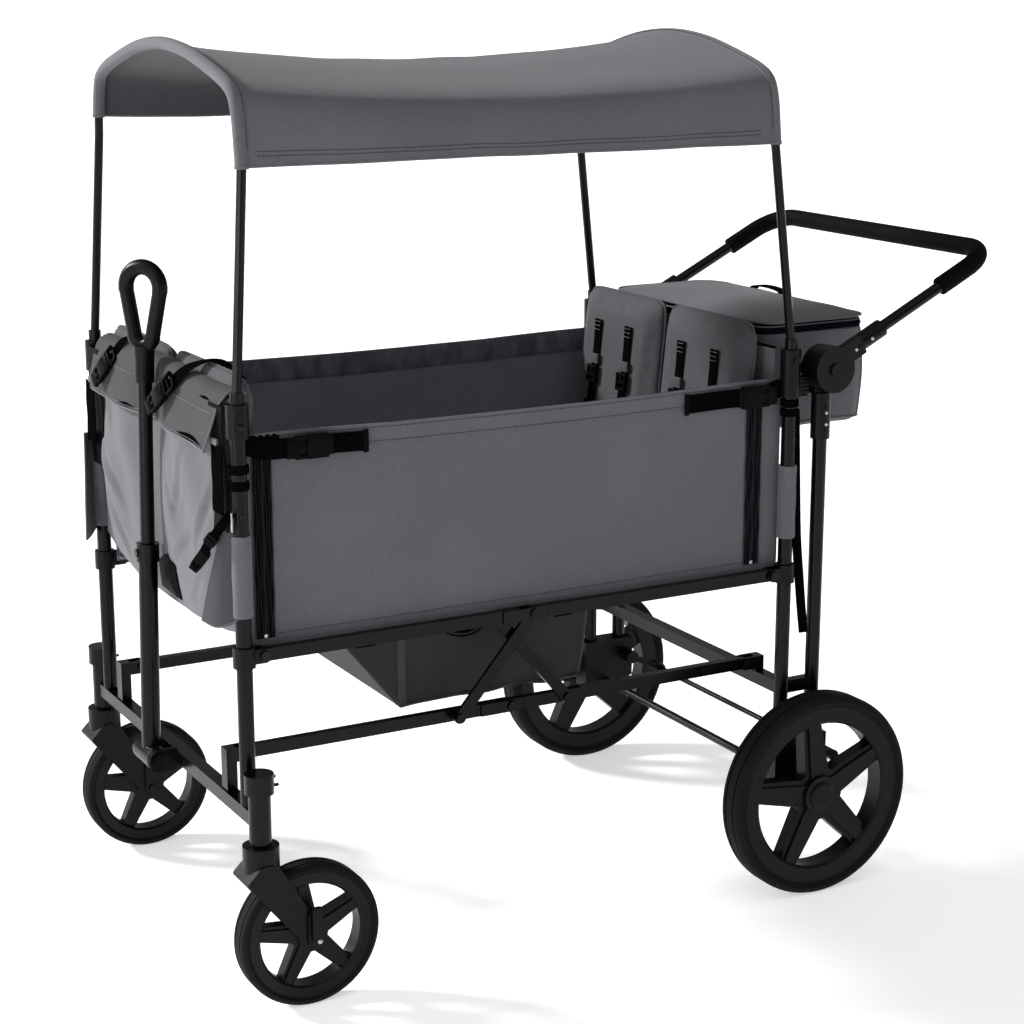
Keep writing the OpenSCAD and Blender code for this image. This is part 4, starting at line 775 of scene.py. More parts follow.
class WAGON_OT_walls(bpy.types.Operator):
    """Sews both side walls with lining, top bands, zips, hems and the sleeves on the posts"""

    bl_idname = "wagon.walls"
    bl_label = "Sew the side walls"

    def execute(self, context):
        sizes = context.scene.wagon_sizes
        slack = sizes.wall_slack / MM
        hem_share = 1 - sizes.hem / MM / (WALL_TOP - WALL_FOOT)
        for side, name in HANDS:
            node = "side_wall_" + ("right" if corners("side_wall_right")[1].y * side > 200 else "left")

            def sewn(label, parts, finish, replaces=()):
                return piece("%s_%s" % (label, name), parts, finish, "front_frame", WALL_FOLD, replaces)

            plane = lambda s, t: wall_plane(s, t, CLOTH_Y, side, slack)
            cloth = sewn("wall_cloth", [sheet(plane, 84, 34, 2.0)], "cloth", [node])
            inner = lambda s, t: wall_plane(0.004 + 0.992 * s, 0.01 + 0.975 * t, LINING_Y, side, slack)
            # The lining's colour carries painted fill light
            lining = sewn("wall_lining", [sheet(inner, 84, 24, 1.4)], "lining")
            band = lambda s, t: wall_plane(s, hem_share + (1.004 - hem_share) * t, HEM_Y, side, slack)
            hem = sewn("wall_hem", [sheet(band, 84, 5, 1.4)], "cloth")
            roll = lambda s, t: wall_plane(s, 1.0 - 0.118 * t, BAND_Y - 3.8 * hump(t) ** 0.6
                                           - 1.1 * rough(s * 60, t * 3, side, 1.0), side, slack)
            nylon = sewn("wall_top_band", [sheet(roll, 110, 10, 1.2)], "band")
            rows = []
            for t, y in ((hem_share + 0.010, TOP_SEAM_Y), (0.987, TOP_SEAM_Y), (0.075, FOOT_SEAM_Y)):
                line = [wall_plane(s / 160, t, y, side, slack) for s in range(4, 157)]
                rows += stitches(line, (0, side, 0))
            tapes, coils, stops, edges = [], [], [], []
            for x in ZIP_XS:
                s = (x - WALL_FRONT) / (WALL_REAR - WALL_FRONT)
                line = [np.array(wall_plane(s, 0.06 + 0.85 * k / 60, TAPE_Y, side, slack)) for k in range(61)]
                tapes.append(strap(line, (1, 0, 0), 27, 0.8))
                for shift, radius in ((0.0, 1.5), (-4.2, 0.7), (4.2, 0.7), (-8.4, 0.8), (8.4, 0.8)):
                    wavy = [p + vec(shift + 0.9 * math.sin(p[2] / 13 + shift), side * 0.7, 0) for p in line]
                    coils.append(tube(wavy, radius, 6))
                coils += [block(p + vec(0, side * 1.0, 0), (4.4, 1.4, 1.3), 0.35) for p in evenly(line, 2.6)]
                for shift in (-13.2, 13.2):
                    edge = [p + vec(shift + 0.5 * math.sin(p[2] / 9), side * 0.5, 0) for p in line]
                    edges += [tube([p - vec(1.5, 0, 0.6), p + vec(0, side * 0.5, 0),
                                    p + vec(1.5, 0, 0.6)], 0.55, 5, (0, side, 0)) for p in evenly(edge, 3.1)]
                stops.append(block(line[0] + vec(0, side * 1.2, 3), (4.5, 2.0, 5), 0.7))
            zips = [sewn("zip_tapes", tapes, "tape"),
                    sewn("zip_coils", coils, "plastic"),
                    sewn("zip_stops", stops, "zinc"),
                    sewn("zip_stitches", edges, "cloth")]
            seams = sewn("wall_stitches", rows, "dark_thread")

            def gather(s, t):
                ruffle = 2.6 * hump(t) * (0.7 + 0.6 * math.sin(s * 46 + 2 * t))
                return FRONT_X + 14 + 44 * s, side * (249.8 + ruffle), 704 + 20 * t + 1.2 * math.sin(s * 31)

            elastic = sewn("wall_elastic", [sheet(gather, 60, 8, 1.0)], "nylon")
            skirt = lambda s, t: (WALL_FRONT + (WALL_REAR - WALL_FRONT) * s, side * (227 + 18.5 * t),
                                  460.5 + 0.6 * rough(s * 40, t, side, 1.0))
            # The floor edge carries the lining's painted fill light
            edge = sewn("floor_edge", [sheet(skirt, 60, 4, 1.2)], "lining")
            for x, body, label in ((FRONT_X, "front_frame", "front"), (REAR_X, "rear_frame", "rear")):
                ring = round_post(x, side, ((2.4, 505), (3.1, 508), (2.5, 530), (3.0, 560), (2.5, 590),
                                            (3.1, 604), (2.4, 607)), 24)
                piece("post_sleeve_%s_%s" % (label, name), [ring], "cloth", body)
        return {"FINISHED"}


# Where the front panel's cloth creases: from and to (across, up), how wide and how deep in millimetres
PANEL_CREASES = (
    ((-0.06, 0.78), (-0.36, 0.40), 6, 3.2), ((-0.52, 0.74), (-0.28, 0.36), 6, 2.6),
    ((0.98, 0.88), (0.60, 0.62), 6, 3.0), ((0.95, 0.62), (0.45, 0.30), 7, 3.6),
    ((0.80, 0.34), (0.40, 0.06), 7, 3.4), ((-0.15, 0.36), (-0.26, 0.00), 6, 3.4),
    ((-0.62, 0.42), (-0.12, 0.10), 7, 3.4), ((-0.86, 0.66), (-0.60, 0.26), 7, 3.0),
    ((-0.85, 0.34), (-0.50, 0.04), 6, 2.8),
)


def creases(u, v):
    """How far the front panel's creases sink in, each with the ridge it pushes up beside it."""
    deep = 0.0
    p = vec(u, v) * PANEL_SIZE
    for a, b, wide, dent in PANEL_CREASES:
        a, b = np.array(a) * PANEL_SIZE, np.array(b) * PANEL_SIZE
        way = unit(b - a)
        run = np.dot(p - a, way) / np.linalg.norm(b - a)
        off = (way[0] * (p - a)[1] - way[1] * (p - a)[0]) / wide
        fade = math.exp(-((run - 0.5) / 0.42) ** 4)
        deep += dent * fade * (math.exp(-off * off) - 0.7 * math.exp(-(off - 1.7) ** 2))
    return deep


def panel_at(u, v, ahead=0.0):
    """The front panel's face: u from -1 to 1 across, v from 0 to 1 up, flatter behind the pull handle."""
    stand = 1 - 0.75 * math.exp(-(u / 0.3) ** 2)
    low = 468 + 34 * max(0.0, u) ** 3 + 14 * max(0.0, -u) ** 4
    bulge = 23 * max(0.0, 1 - u ** 4) * max(0.0, math.sin(math.pi * min(1, max(0, v)) ** 0.7)) ** 0.9
    drape = max(0.0, 1 - u * u) * math.sin(math.pi * min(1, max(0, v)))
    fold = drape * (7.5 * math.sin(TAU * (1.05 * u + 0.8 * v))
                    + 4.2 * math.sin(TAU * (2.1 * u - 1.2 * v) + 1))
    crumple = 4.0 * rough(0, u * 3.5 + v * 2.2, v * 2.2, 1.0, 7.0) * (1 - u ** 6)
    x = FRONT_X - (bulge + fold + crumple - creases(u, v)) * stand - ahead * (0.45 + 0.55 * stand)
    return vec(x, u * PANEL_SIZE[0], low + (770 - low) * v)


class WAGON_OT_front_panel(bpy.types.Operator):
    """Sews the front panel with its rolled flap and hanging pockets, both darkened with painted shade,
    painted shade in its pocket mouths, straps and loops
    """

    bl_idname = "wagon.front_panel"
    bl_label = "Sew the front panel"

    def execute(self, context):
        body = "front_frame"
        face = sheet(lambda s, t: panel_at(2 * t - 1, s), 60, 90, 2.2)
        main = piece("front_panel_cloth", [face], "cloth", body, PANEL_GIVE, ["front_panel"])
        foot = tube([panel_at(k / 40 - 1, 0) for k in range(81)], 2.0, 8)
        edge = piece("front_panel_binding", [foot], "cloth", body, PANEL_GIVE)
        roll = np.array(curve(
            [(-24, 706), (-22, 722), (-17, 744), (-11, 764), (-2, 778), (10, 783), (22, 777)], 6))

        def flap(s, t, lift=0.0):
            u = (2 * t - 1) * (0.93 + 0.06 * min(1.0, 1.6 * s)) - 0.05 * t
            k = s * (len(roll) - 1)
            ahead, z = [np.interp(k, range(len(roll)), roll[:, c]) for c in (0, 1)]
            stand = 1 - 0.68 * math.exp(-(u / 0.2) ** 2)
            loose = (1 - s) ** 2
            curl = 3.0 * max(0.0, -u - 0.62) / 0.24 * loose + 2.0 * rough(u * 4, 0, 0, 1.0, 2.0) * loose
            crease = 1.6 * rough(0, u * 5, s * 3, 1.0, 12.0)
            x = FRONT_X + ahead * (stand if ahead < 0 else 1) - curl * stand - crease - lift
            return vec(x, PANEL_SIZE[0] * u, z + 3 * math.sin(3.1 * u + 1) * s + 9 * max(0.0, u) ** 3 * loose)

        # The flap is the panel's cloth darkened with painted shade
        cover = piece("front_flap", [sheet(flap, 36, 64, 2.0)], "deep", body, PANEL_GIVE)
        trims = [piped(lambda t: flap(0, t), 64, 1.5)]
        trims += [piped(lambda k: flap(k, e), 40, 1.5) for e in (0, 1)]
        hem = piece("front_flap_binding", trims, "cloth", body, PANEL_GIVE)
        rows = []
        for s in (0.05, 0.40):
            rows += stitches([flap(s, t / 90, 1.3) for t in range(2, 89)], (-1, 0, 0))
        seams = piece("front_panel_stitches", rows, "thread", body, PANEL_GIVE)
        # Black webbing sheets laid on the flap in its slits and buttonhole: painted shade of the openings
        slit_shades = []
        for a, b, low, tall in ((0.015, 0.255, 0.05, 0.046), (0.625, 0.745, 0.05, 0.030),
                                (0.06, 0.14, 0.52, 0.016)):
            slit = lambda s, t: flap(low + tall * hump(t) * (2 * s - 0.6), a + (b - a) * t, 1.2)
            slit_shades.append(sheet(slit, 4, 20, 0.6))
        mouths = piece("flap_pocket_mouth_shade", slit_shades, "webbing", body, PANEL_GIVE)
        cut_size(flap)
        self.pockets(body)
        self.straps(body)
        return {"FINISHED"}

    def pockets(self, body):
        """The pockets that hang in front of the posts, with the dark strips above them."""
        hang, trims = [], []
        for side in (-1, 1):
            top = [vec(x, side * y, z) for x, y, z in ((-4, 263, 0), (-12, 262, 2), (-24, 254, 4))]
            for p in top:
                p[2] += 608 if side < 0 else 636
            foot = [vec(x, side * y, z) for x, y, z in ((-8, 266, 503), (-26, 248, 492), (-38, 222, 496))]
            up, down = np.array(curve(top, 6)), np.array(curve(foot, 6))

            def pouch(s, t):
                k = t * (len(up) - 1)
                a, b = [np.array([np.interp(k, range(len(q)), q[:, c]) for c in range(3)])
                        for q in (up, down)]
                p = b + (a - b) * s + vec(FRONT_X, 0, 0)
                puff = 5 * hump(s) * hump(t) + 1.5 * rough(p[0], p[1], p[2], 0.03, 4.0)
                return p + vec(-0.7, -0.7 * side, 0) * puff
            hang.append(sheet(pouch, 26, 14, 1.8))
            hang.append(sheet(lambda s, t: pouch(s, t) + vec(3.5, 3.5 * side, 0)
                              * (1 - abs(2 * t - 1) ** 3), 26, 14, 1.6))
            trims += [piped(lambda k: pouch(k, e), 24, 1.3) for e in (0, 1)]
            trims += [piped(lambda k: pouch(e, k), 24, 1.3) for e in (0, 1)]
        # The hanging pockets are the gray cloth darkened with painted shade
        pouches = piece("front_hanging_pockets", hang, "shade", body)
        binding = piece("front_pocket_binding", trims, "cloth", body)
        # Two pockets of two layers each, cut as one strip
        deep, wide = cut_size(pouch)
        strips, backs, loops = [], [], []
        for side in (-1, 1):
            line = [(FRONT_X - 18 - 0.4 * math.sin(k), side * 238, 632 + 7 * k) for k in range(13)]
            strips.append(strap(line, (0, 1, 0), 34, 2.2))
            gap = lambda s, t: (FRONT_X - 13 + 2 * math.sin(5 * s), side * (208 + 43 * t), 600 + 164 * s)
            backs.append(sheet(gap, 16, 6, 1.2))
            loops.append(block((FRONT_X - 18, side * 232, 719), (4, 18, 8), 1.6))
        piece("front_hook_strips", strips, "webbing", body)
        piece("front_gap_cloth", backs, "nylon", body)
        piece("front_strip_loops", loops, "cloth", body)
        patch = lambda s, t: panel_at(0.05 - 0.32 * t, 0.03 + (0.12 + 0.05 * hump(t)) * s,
                                      3 + 7 * hump(t) * hump(s))
        piece("front_low_pouch", [sheet(patch, 12, 16, 2.0)], "nylon", body, PANEL_GIVE)

    def straps(self, body):
        """Straps from the seat backs over the flap, hanging straps and the loops round the posts."""
        bands, clips = [], []
        for far, over, under, held in (((46, -166, 778), (26, -140, 799), (-17, -86, 764), (-29, -50, 731)),
                                       ((40, 112, 776), (16, 126, 791), (-14, 146, 762), (-25, 170, 733))):
            z, a, b, c = [np.array(p, float) + vec(FRONT_X, 0, 0) for p in (far, over, under, held)]
            line = curve([z, a, (a + b) / 2 + vec(-5, 0, 8), b, c], 8)
            way = c - b
            wide = np.cross(unit(way), (1, 0, 0))
            flat = np.cross((0, 0, 1), unit((b - a) * vec(1, 1, 0)))
            flat = flat if np.dot(flat, wide) > 0 else -flat
            turn = [flat + (wide - flat) * min(1.0, max(0.0, (k / (len(line) - 1) - 0.3) / 0.4))
                    for k in range(len(line))]
            bands.append(strap(line, turn, 19))
            clips += buckle(b + (c - b) * 0.62 + vec(-5, 0, 0), -way, wide, 48, 24, 9)
            clips += ladder(b + (c - b) * 0.02 + vec(-4, 0, 2), -way, wide, 22, 25)
        piece("front_seat_straps", bands, "webbing", body, PANEL_GIVE)
        piece("front_seat_buckles", clips, "clip", body, PANEL_GIVE)
        hang, ends, pulls = [], [], []
        line = curve([(FRONT_X + x, -y, z) for x, y, z in (
            (-12, 266, 638), (-22, 268, 628), (-30, 258, 612), (-35, 242, 594), (-38, 228, 576))], 6)
        hang.append(strap(line, (-0.56, 0.44, 0.55), 12))
        ends += buckle((FRONT_X - 39, -224, 572), (0.35, -0.53, 0.78), (-0.56, 0.44, 0.55), 34, 15, 9)
        ends += ladder((FRONT_X - 33, -250, 603), (0.35, -0.53, 0.78), (-0.56, 0.44, 0.55), 14, 16)
        pulls.append(block((FRONT_X - 15, -272, 627), (2, 2, 24), 0.7))
        for side in (-1, 1):
            for z in (663, 683):
                hang.append(round_post(FRONT_X, side, ((0.6, z), (2.6, z + 1), (2.9, z + 5), (2.6, z + 11),
                                                       (0.6, z + 12))))
        piece("front_hanging_straps", hang, "webbing", body)
        piece("front_hanging_buckles", ends, "clip", body)
        piece("front_zip_pulls", pulls, "zinc", body)


class WAGON_OT_rear_panel(bpy.types.Operator):
    """Sews the plain panel behind the rear seat and its loops on the posts"""

    bl_idname = "wagon.rear_panel"
    bl_label = "Sew the rear panel"

    def execute(self, context):
        low, high = corners("rear_panel")
        x = REAR_X - 12
        body = "rear_frame"

        def cloth(s, t):
            u = 2 * t - 1
            return (x - 1.5 * rough(u * 5, s * 4, 0, 1.0, 4.0), u * 241, low.z + (high.z - low.z) * s)

        panel = piece("rear_panel_cloth", [sheet(cloth, 30, 40, 2.2)], "cloth", body, None, ["rear_panel"])
        trim = piece("rear_panel_binding", [piped(lambda t: cloth(1, t), 40, 2.0)], "webbing", body)
        loops = []
        for side in (-1, 1):
            for z in (676, 689):
                loops.append(round_post(REAR_X, side, ((0.6, z), (2.6, z + 1), (2.6, z + 10), (0.6, z + 11))))
        piece("rear_panel_loops", loops, "webbing", body)
        return {"FINISHED"}


def cushion(wide, tall, deep, outer, crown):
    """A stitched cushion case, back at x = 0, standing on z = 0: rounder at its outer top corner, and
    thicker by crown at its top."""
    rows, cols = 56, 38

    def edge(i, j, front):
        u, w = 2 * j / cols - 1, 2 * i / rows - 1
        flat = (max(0, 1 - abs(u) ** 5) * max(0, 1 - abs(w) ** 7)) ** 0.5
        half = deep / 2 * (0.16 + 0.80 * flat)
        swell = crown * max(0.0, (w - 0.45) / 0.55) ** 1.5 * (1 - max(0.0, (w - 0.9) / 0.1) ** 2 * 0.7) * flat
        turn = (0.10 if u * outer > 0 else 0.07) if w > 0 else 0.05
        pull = 1 - turn * abs(u * w) ** 9
        drop = turn * 0.6 * abs(u * w) ** 9
        return (-deep / 2 + (-half - swell if front else half), pull * u * wide / 2,
                tall / 2 + w * tall / 2 * (1 - drop))

    points, faces = [], []
    width = cols + 1
    for front in (True, False):
        points += [edge(i, j, front) for i in range(rows + 1) for j in range(width)]
    count = (rows + 1) * width
    for i in range(rows):
        for j in range(cols):
            a = i * width + j
            faces.append([a, a + 1, a + width + 1, a + width])
            faces.append([count + a, count + a + width, count + a + width + 1, count + a + 1])
    rim = border(rows, cols)
    faces += [[a, a + count, b + count, b] for a, b in zip(rim, rim[1:] + rim[:1])]
    return points, faces, [points[k] for k in rim]


def fill(thing, cap, seam):
    """Fills a cushion's case: the cover swells under pressure, up to a cap, and stays put at its seam."""
    frames = 20
    thick = thing.modifiers.new("even_cloth", "REMESH")
    thick.mode = "VOXEL"
    thick.voxel_size = 5.5 * MM
    bpy.context.view_layer.objects.active = thing
    bpy.ops.object.modifier_apply(modifier=thick.name)
    start = np.array([v.co for v in thing.data.vertices])
    cloth = thing.modifiers.new("filling", "CLOTH")
    cloth.settings.use_pressure = True
    cloth.settings.uniform_pressure_force = 4.0
    cloth.settings.tension_stiffness = 12
    cloth.settings.compression_stiffness = 12
    cloth.settings.bending_stiffness = 0.4
    cloth.settings.shrink_min = -0.03
    cloth.settings.effector_weights.gravity = 0.0
    cloth.point_cache.frame_start = 1
    cloth.point_cache.frame_end = frames
    for k in range(1, frames + 1):
        bpy.context.scene.frame_set(k)
    shown = thing.evaluated_get(bpy.context.evaluated_depsgraph_get())
    moved = np.array([v.co for v in shown.data.vertices]) - start
    thing.modifiers.remove(cloth)
    bpy.context.scene.frame_set(1)
    far = np.linalg.norm(moved, axis=1)[:, None]
    moved *= np.minimum(1.0, cap / np.maximum(far, 1e-9))
    line = np.array(seam) * MM
    away = np.min(np.linalg.norm(start[:, None, :] - line[None, :, :], axis=2), axis=1)[:, None]
    moved *= np.clip((away - 6 * MM) / (26 * MM), 0.0, 1.0)
    thing.data.vertices.foreach_set("co", (start + moved).ravel())


# How far the rear seat back leans, in degrees, and the share of its depth that it keeps when folded
REAR_LEAN, REAR_SEAT_SHARE = 6.0, 0.24


class WAGON_OT_seats(bpy.types.Operator):
    """Fills and pipes the four seat-back cushions, and threads the harness of the rear ones"""

    bl_idname = "wagon.seats"
    bl_label = "Stuff the seat backs"

    def execute(self, context):
        sizes = context.scene.wagon_sizes
        backs = []
        for node, body, lean, deep, way, crown, spare in (
                ("front_seat_back", "front_frame", 0.0, 36.0, -1, 10.0, 13.0),
                ("rear_seat_back", "rear_frame", REAR_LEAN, 30.0, 1, 3.0, 0.0)):
            low, high = corners(node)
            wide, tall = high.y + spare - 2.5, 320.0
            fold = ((1, 0, 0), (low.x if way < 0 else high.x, 0, low.z), 0.3 if way < 0 else REAR_SEAT_SHARE)
            tilt = Matrix.Rotation(math.radians(lean), 3, "Y")
            foot_x = low.x + deep + 4 if way < 0 else high.x - tall * math.sin(math.radians(lean))
            foot = Vector((foot_x, 0, low.z + 1))

            def seat(p, side):
                p = Vector((p[0], p[1] + side * (high.y + spare - wide / 2), p[2]))
                p = tilt @ Vector((p.x * 0.86 + way * 0.5, p.y, p.z))
                if way < 0:
                    p = Vector((-p.x - deep, p.y, p.z))
                return p + foot

            made = []
            for side, label in HANDS:
                points, faces, rim = cushion(wide * 0.985, tall * 0.985, deep, side, crown)
                case = [tuple(seat(p, side)) for p in points]
                # The cushion cases are the gray cloth darkened with painted shade
                thing = piece("%s_%s" % (node, label), [(case, faces)], "shade", body, None,
                              [node] if side < 0 else ())
                ring = [tuple(seat((-deep / 2, p[1], p[2]), side)) for p in rim]
                fill(thing, sizes.cushion_rise, ring)
                if way > 0:
                    backs.append(thing.data)
                thing.data.shade_smooth()
                axis, at, keep = fold
                [c * MM for c in at]
                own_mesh(thing)
                made.append(tube(ring, sizes.piping / MM, 8, (1, 0.1, 0.05), True))
            # The piping is the gray cloth darkened with painted shade
            piece(node + "_piping", made, "shade", body, fold)
        self.harness(backs)
        return {"FINISHED"}

    def harness(self, backs):
        """Shoulder straps, adjusters and buckles, lying on the rear seat back's cushions."""
        low, high = corners("rear_seat_harness")
        back = corners("rear_seat_back")[1]
        fold = ((1, 0, 0), (back.x, 0, low.z), REAR_SEAT_SHARE)
        slope = math.tan(math.radians(REAR_LEAN))
        straps, locks, keepers, sewn = [], [], [], []
        faces = [BVHTree.FromPolygons([v.co for v in m.vertices], [f.vertices for f in m.polygons])
                 for m in backs]
        inner, outer = 0.3175 * back.y, 0.693 * back.y
        for y in (-outer, -inner, inner, outer):
            def on(z, out=0.0):
                x = low.x + 5 + (z - low.z) * slope
                for face in faces:
                    met = face.ray_cast(Vector((low.x - 200, y, z)) * MM, Vector((1, 0, 0)))[0]
                    x = min(x, met.x / MM - 0.5) if met else x
                return vec(x - out, y, z)
            top, bottom = high.z + 4, low.z - 14
            straps.append(strap([on(z, 2.0 + math.sin((z - bottom) / 26) * 1.4)
                                 for z in np.linspace(bottom, top, 24)], (0, 1, 0), 20))
            locks += ladder(on(low.z + 72, 5), (slope, 0, 1), (0, 1, 0), 26, 26)
            locks += buckle(on(low.z + 8, 6), (slope, 0, 1), (0, 1, 0), 44, 27, 9)
            keepers.append(block(on(697, 4), (5, 26, 15), 2.2))
            for down in (3, 9, 15):
                sewn += stitches([on(top - down, 4.4) + vec(0, end, 0) for end in (-9, 9)], (-1, 0, 0))
        piece("rear_harness_straps", straps, "webbing", "rear_frame", fold, ["rear_seat_harness"])
        piece("rear_harness_buckles", locks, "clip", "rear_frame", fold)
        # The keepers are the gray cloth darkened with painted shade
        piece("rear_harness_keepers", keepers, "shade", "rear_frame", fold)
        piece("rear_harness_stitches", sewn, "thread", "rear_frame", fold)


class WAGON_OT_floor(bpy.types.Operator):
    """Quilts the two floor mats"""

    bl_idname = "wagon.floor"
    bl_label = "Quilt the floor"

    def execute(self, context):
        for node, body in (("floor_front", "upper_front_rails"), ("floor_rear", "upper_rear_rails")):
            low, high = corners(node)
            half, under = 238.0, 462.8
            x0, x1 = low.x, MID_X - 0.6
            if node == "floor_rear":
                x0, x1 = MID_X + 0.6, min(high.x, REAR_X - 76)

            def mat(s, t):
                x, y = x0 + (x1 - x0) * s, half * (2 * t - 1)
                quilt = abs(math.sin(math.pi * 4 * s)) ** 0.4 * abs(math.sin(math.pi * 6 * t)) ** 0.4
                return x, y, 463.4 + 8.0 * (0.35 + 0.65 * quilt)

            points, faces = sheet(mat, 46, 60, 0.01)
            for k in range(len(points) // 2):
                points[k] = vec(points[k][0], points[k][1], under)
            # The mats carry the lining's painted fill light
            pad = piece(node + "_mat", [(points, faces)], "lining", body, None, [node])
        return {"FINISHED"}


def round_ring(x0, x1, half, radius, z, steps=7):
    """A rounded rectangle seen from above, as a closed ring of points."""
    ring = []
    for cx, cy, turn in ((x1 - radius, half - radius, 0), (x0 + radius, half - radius, 1),
                         (x0 + radius, -half + radius, 2), (x1 - radius, -half + radius, 3)):
        for k in range(steps + 1):
            a = math.pi / 2 * (turn + k / steps)
            ring.append((cx + radius * math.cos(a), cy + radius * math.sin(a), z))
    full = []
    for a, b in zip(ring, ring[1:] + ring[:1]):
        a, b = np.array(a), np.array(b)
        parts = max(1, int(np.linalg.norm(b - a) // 14))
        full += [a + (b - a) * k / parts for k in range(parts)]
    return full


def loft(rings):
    """A closed skin through rings of as many points each."""
    return [p for ring in rings for p in ring], skin(len(rings), len(rings[0]))


class WAGON_OT_bag(bpy.types.Operator):
    """Sews the rear bag with its zip, piping and hinged lid"""

    bl_idname = "wagon.bag"
    bl_label = "Sew the rear bag"

    def execute(self, context):
        low, high = corners("rear_bag")
        x0, x1, half = low.x, REAR_X + 175, high.y
        bottom, top = low.z, 789.0
        base = round_ring(x0, x1, half, 30, 0)
        centre = vec((x0 + x1) / 2, 0, 0)

        def ring(inset, z, soft):
            made = []
            for p in base:
                way = unit((p - centre) * vec(1, 0.42, 0))
                share = (z - bottom) / (top - bottom)
                puff = soft * (4.0 * hump(share) + 2.6 * rough(p[0], p[1], z, 0.016, 9.0))
                droop = soft * (1 - share) * 4 * rough(p[0], p[1], 0, 0.01, 2.0)
                if p[0] < x0 + 25:
                    puff *= max(0.0, (p[0] - x0) / 25)
                made.append(p - way * inset + way * puff + vec(0, 0, z + droop))
            return made

        outer = [ring(26, bottom, 0), ring(7, bottom + 2, 0.4)]
        outer += [ring(0, bottom + 8 + (top - bottom - 8) * k / 12, 1.0 if k < 11 else 0.3)
                  for k in range(13)]
        inner = [ring(3.2, top - (top - bottom - 8) * k / 8, 0.8 if k else 0.3) for k in range(9)]
        case = loft(outer + inner + [ring(26, bottom + 3, 0)])
        shell = piece("rear_bag_cloth", [case], "cloth", "rear_frame", None, ["rear_bag"], 55)
        trims = [tube(ring(-0.4, top - 13, 0.4), 1.2, 8, (0, 0, 1), True),
                 tube(ring(-0.4, bottom + 8, 1.0), 1.6, 8, (0, 0, 1), True)]
        for y in (-half + 3, half - 3):
            k = min(range(len(base)), key=lambda q: abs(base[q][0] - x1 + 12) + abs(base[q][1] - y))
            seam = [ring(-0.4, bottom + 8 + (top - 21 - bottom) * j / 12, 1.0)[k] for j in range(13)]
            trims.append(tube(seam, 1.5, 6))
        piping = piece("rear_bag_piping", trims, "cloth", "rear_frame")
        run = ring(-0.7, top - 6, 0.35)
        tape = strap(run + run[:1], (0, 0, 1), 9, 0.9)
        coil = tube(ring(-1.5, top - 6, 0.35), 1.2, 6, (0, 0, 1), True)
        zipper = piece("rear_bag_zip", [tape, coil], "tape", "rear_frame")
        middle = np.array(ring(0, (bottom + top) / 2, 1.0))
        girth = float(np.linalg.norm(middle - np.roll(middle, 1, axis=0), axis=1).sum()) * MM
        tall, deep, wide = (top - bottom) * MM, (x1 - x0) * MM, 2 * half * MM
        tall + deep
        girth * tall + wide * deep
        lo, hi = corners("bag_lid")
        lid_base = round_ring(lo.x, hi.x, hi.y, 30, 0)
        heart = vec((lo.x + hi.x) / 2, 0, 0)

        def lid_ring(share, z):
            made = []
            for p in lid_base:
                q = heart + (p - heart) * share
                made.append(q + vec(0, 0, z + 1.4 * rough(q[0], q[1], 3, 0.014, 6.0) * (1 - share ** 4)))
            return made

        rise = hi.z - lo.z
        dome = [lid_ring(0.5, lo.z + 0.4), lid_ring(0.985, lo.z + 0.4), lid_ring(1.0, lo.z + 3)]
        dome += [lid_ring(1 - 0.9 * k / 14, lo.z + 3 + (rise + 4) * math.sin(math.pi / 2 * k / 14) ** 0.7)
                 for k in range(1, 15)]
        lid = piece("bag_lid_cloth", [loft(dome)], "cloth", "bag_lid", None, ["bag_lid"], 60)
        welt = tube(lid_ring(1.003, lo.z + 3.4), 1.5, 8, (0, 0, 1), True)
        piece("bag_lid_piping", [welt], "cloth", "bag_lid")
        handle = curve([(hi.x - 30, y, hi.z + up)
                        for y, up in ((-42, 1), (-30, 7), (0, 9), (30, 7), (42, 1))])
        piece("bag_lid_handle", [strap(handle, (1, 0, 0), 18)], "webbing", "bag_lid")
        return {"FINISHED"}


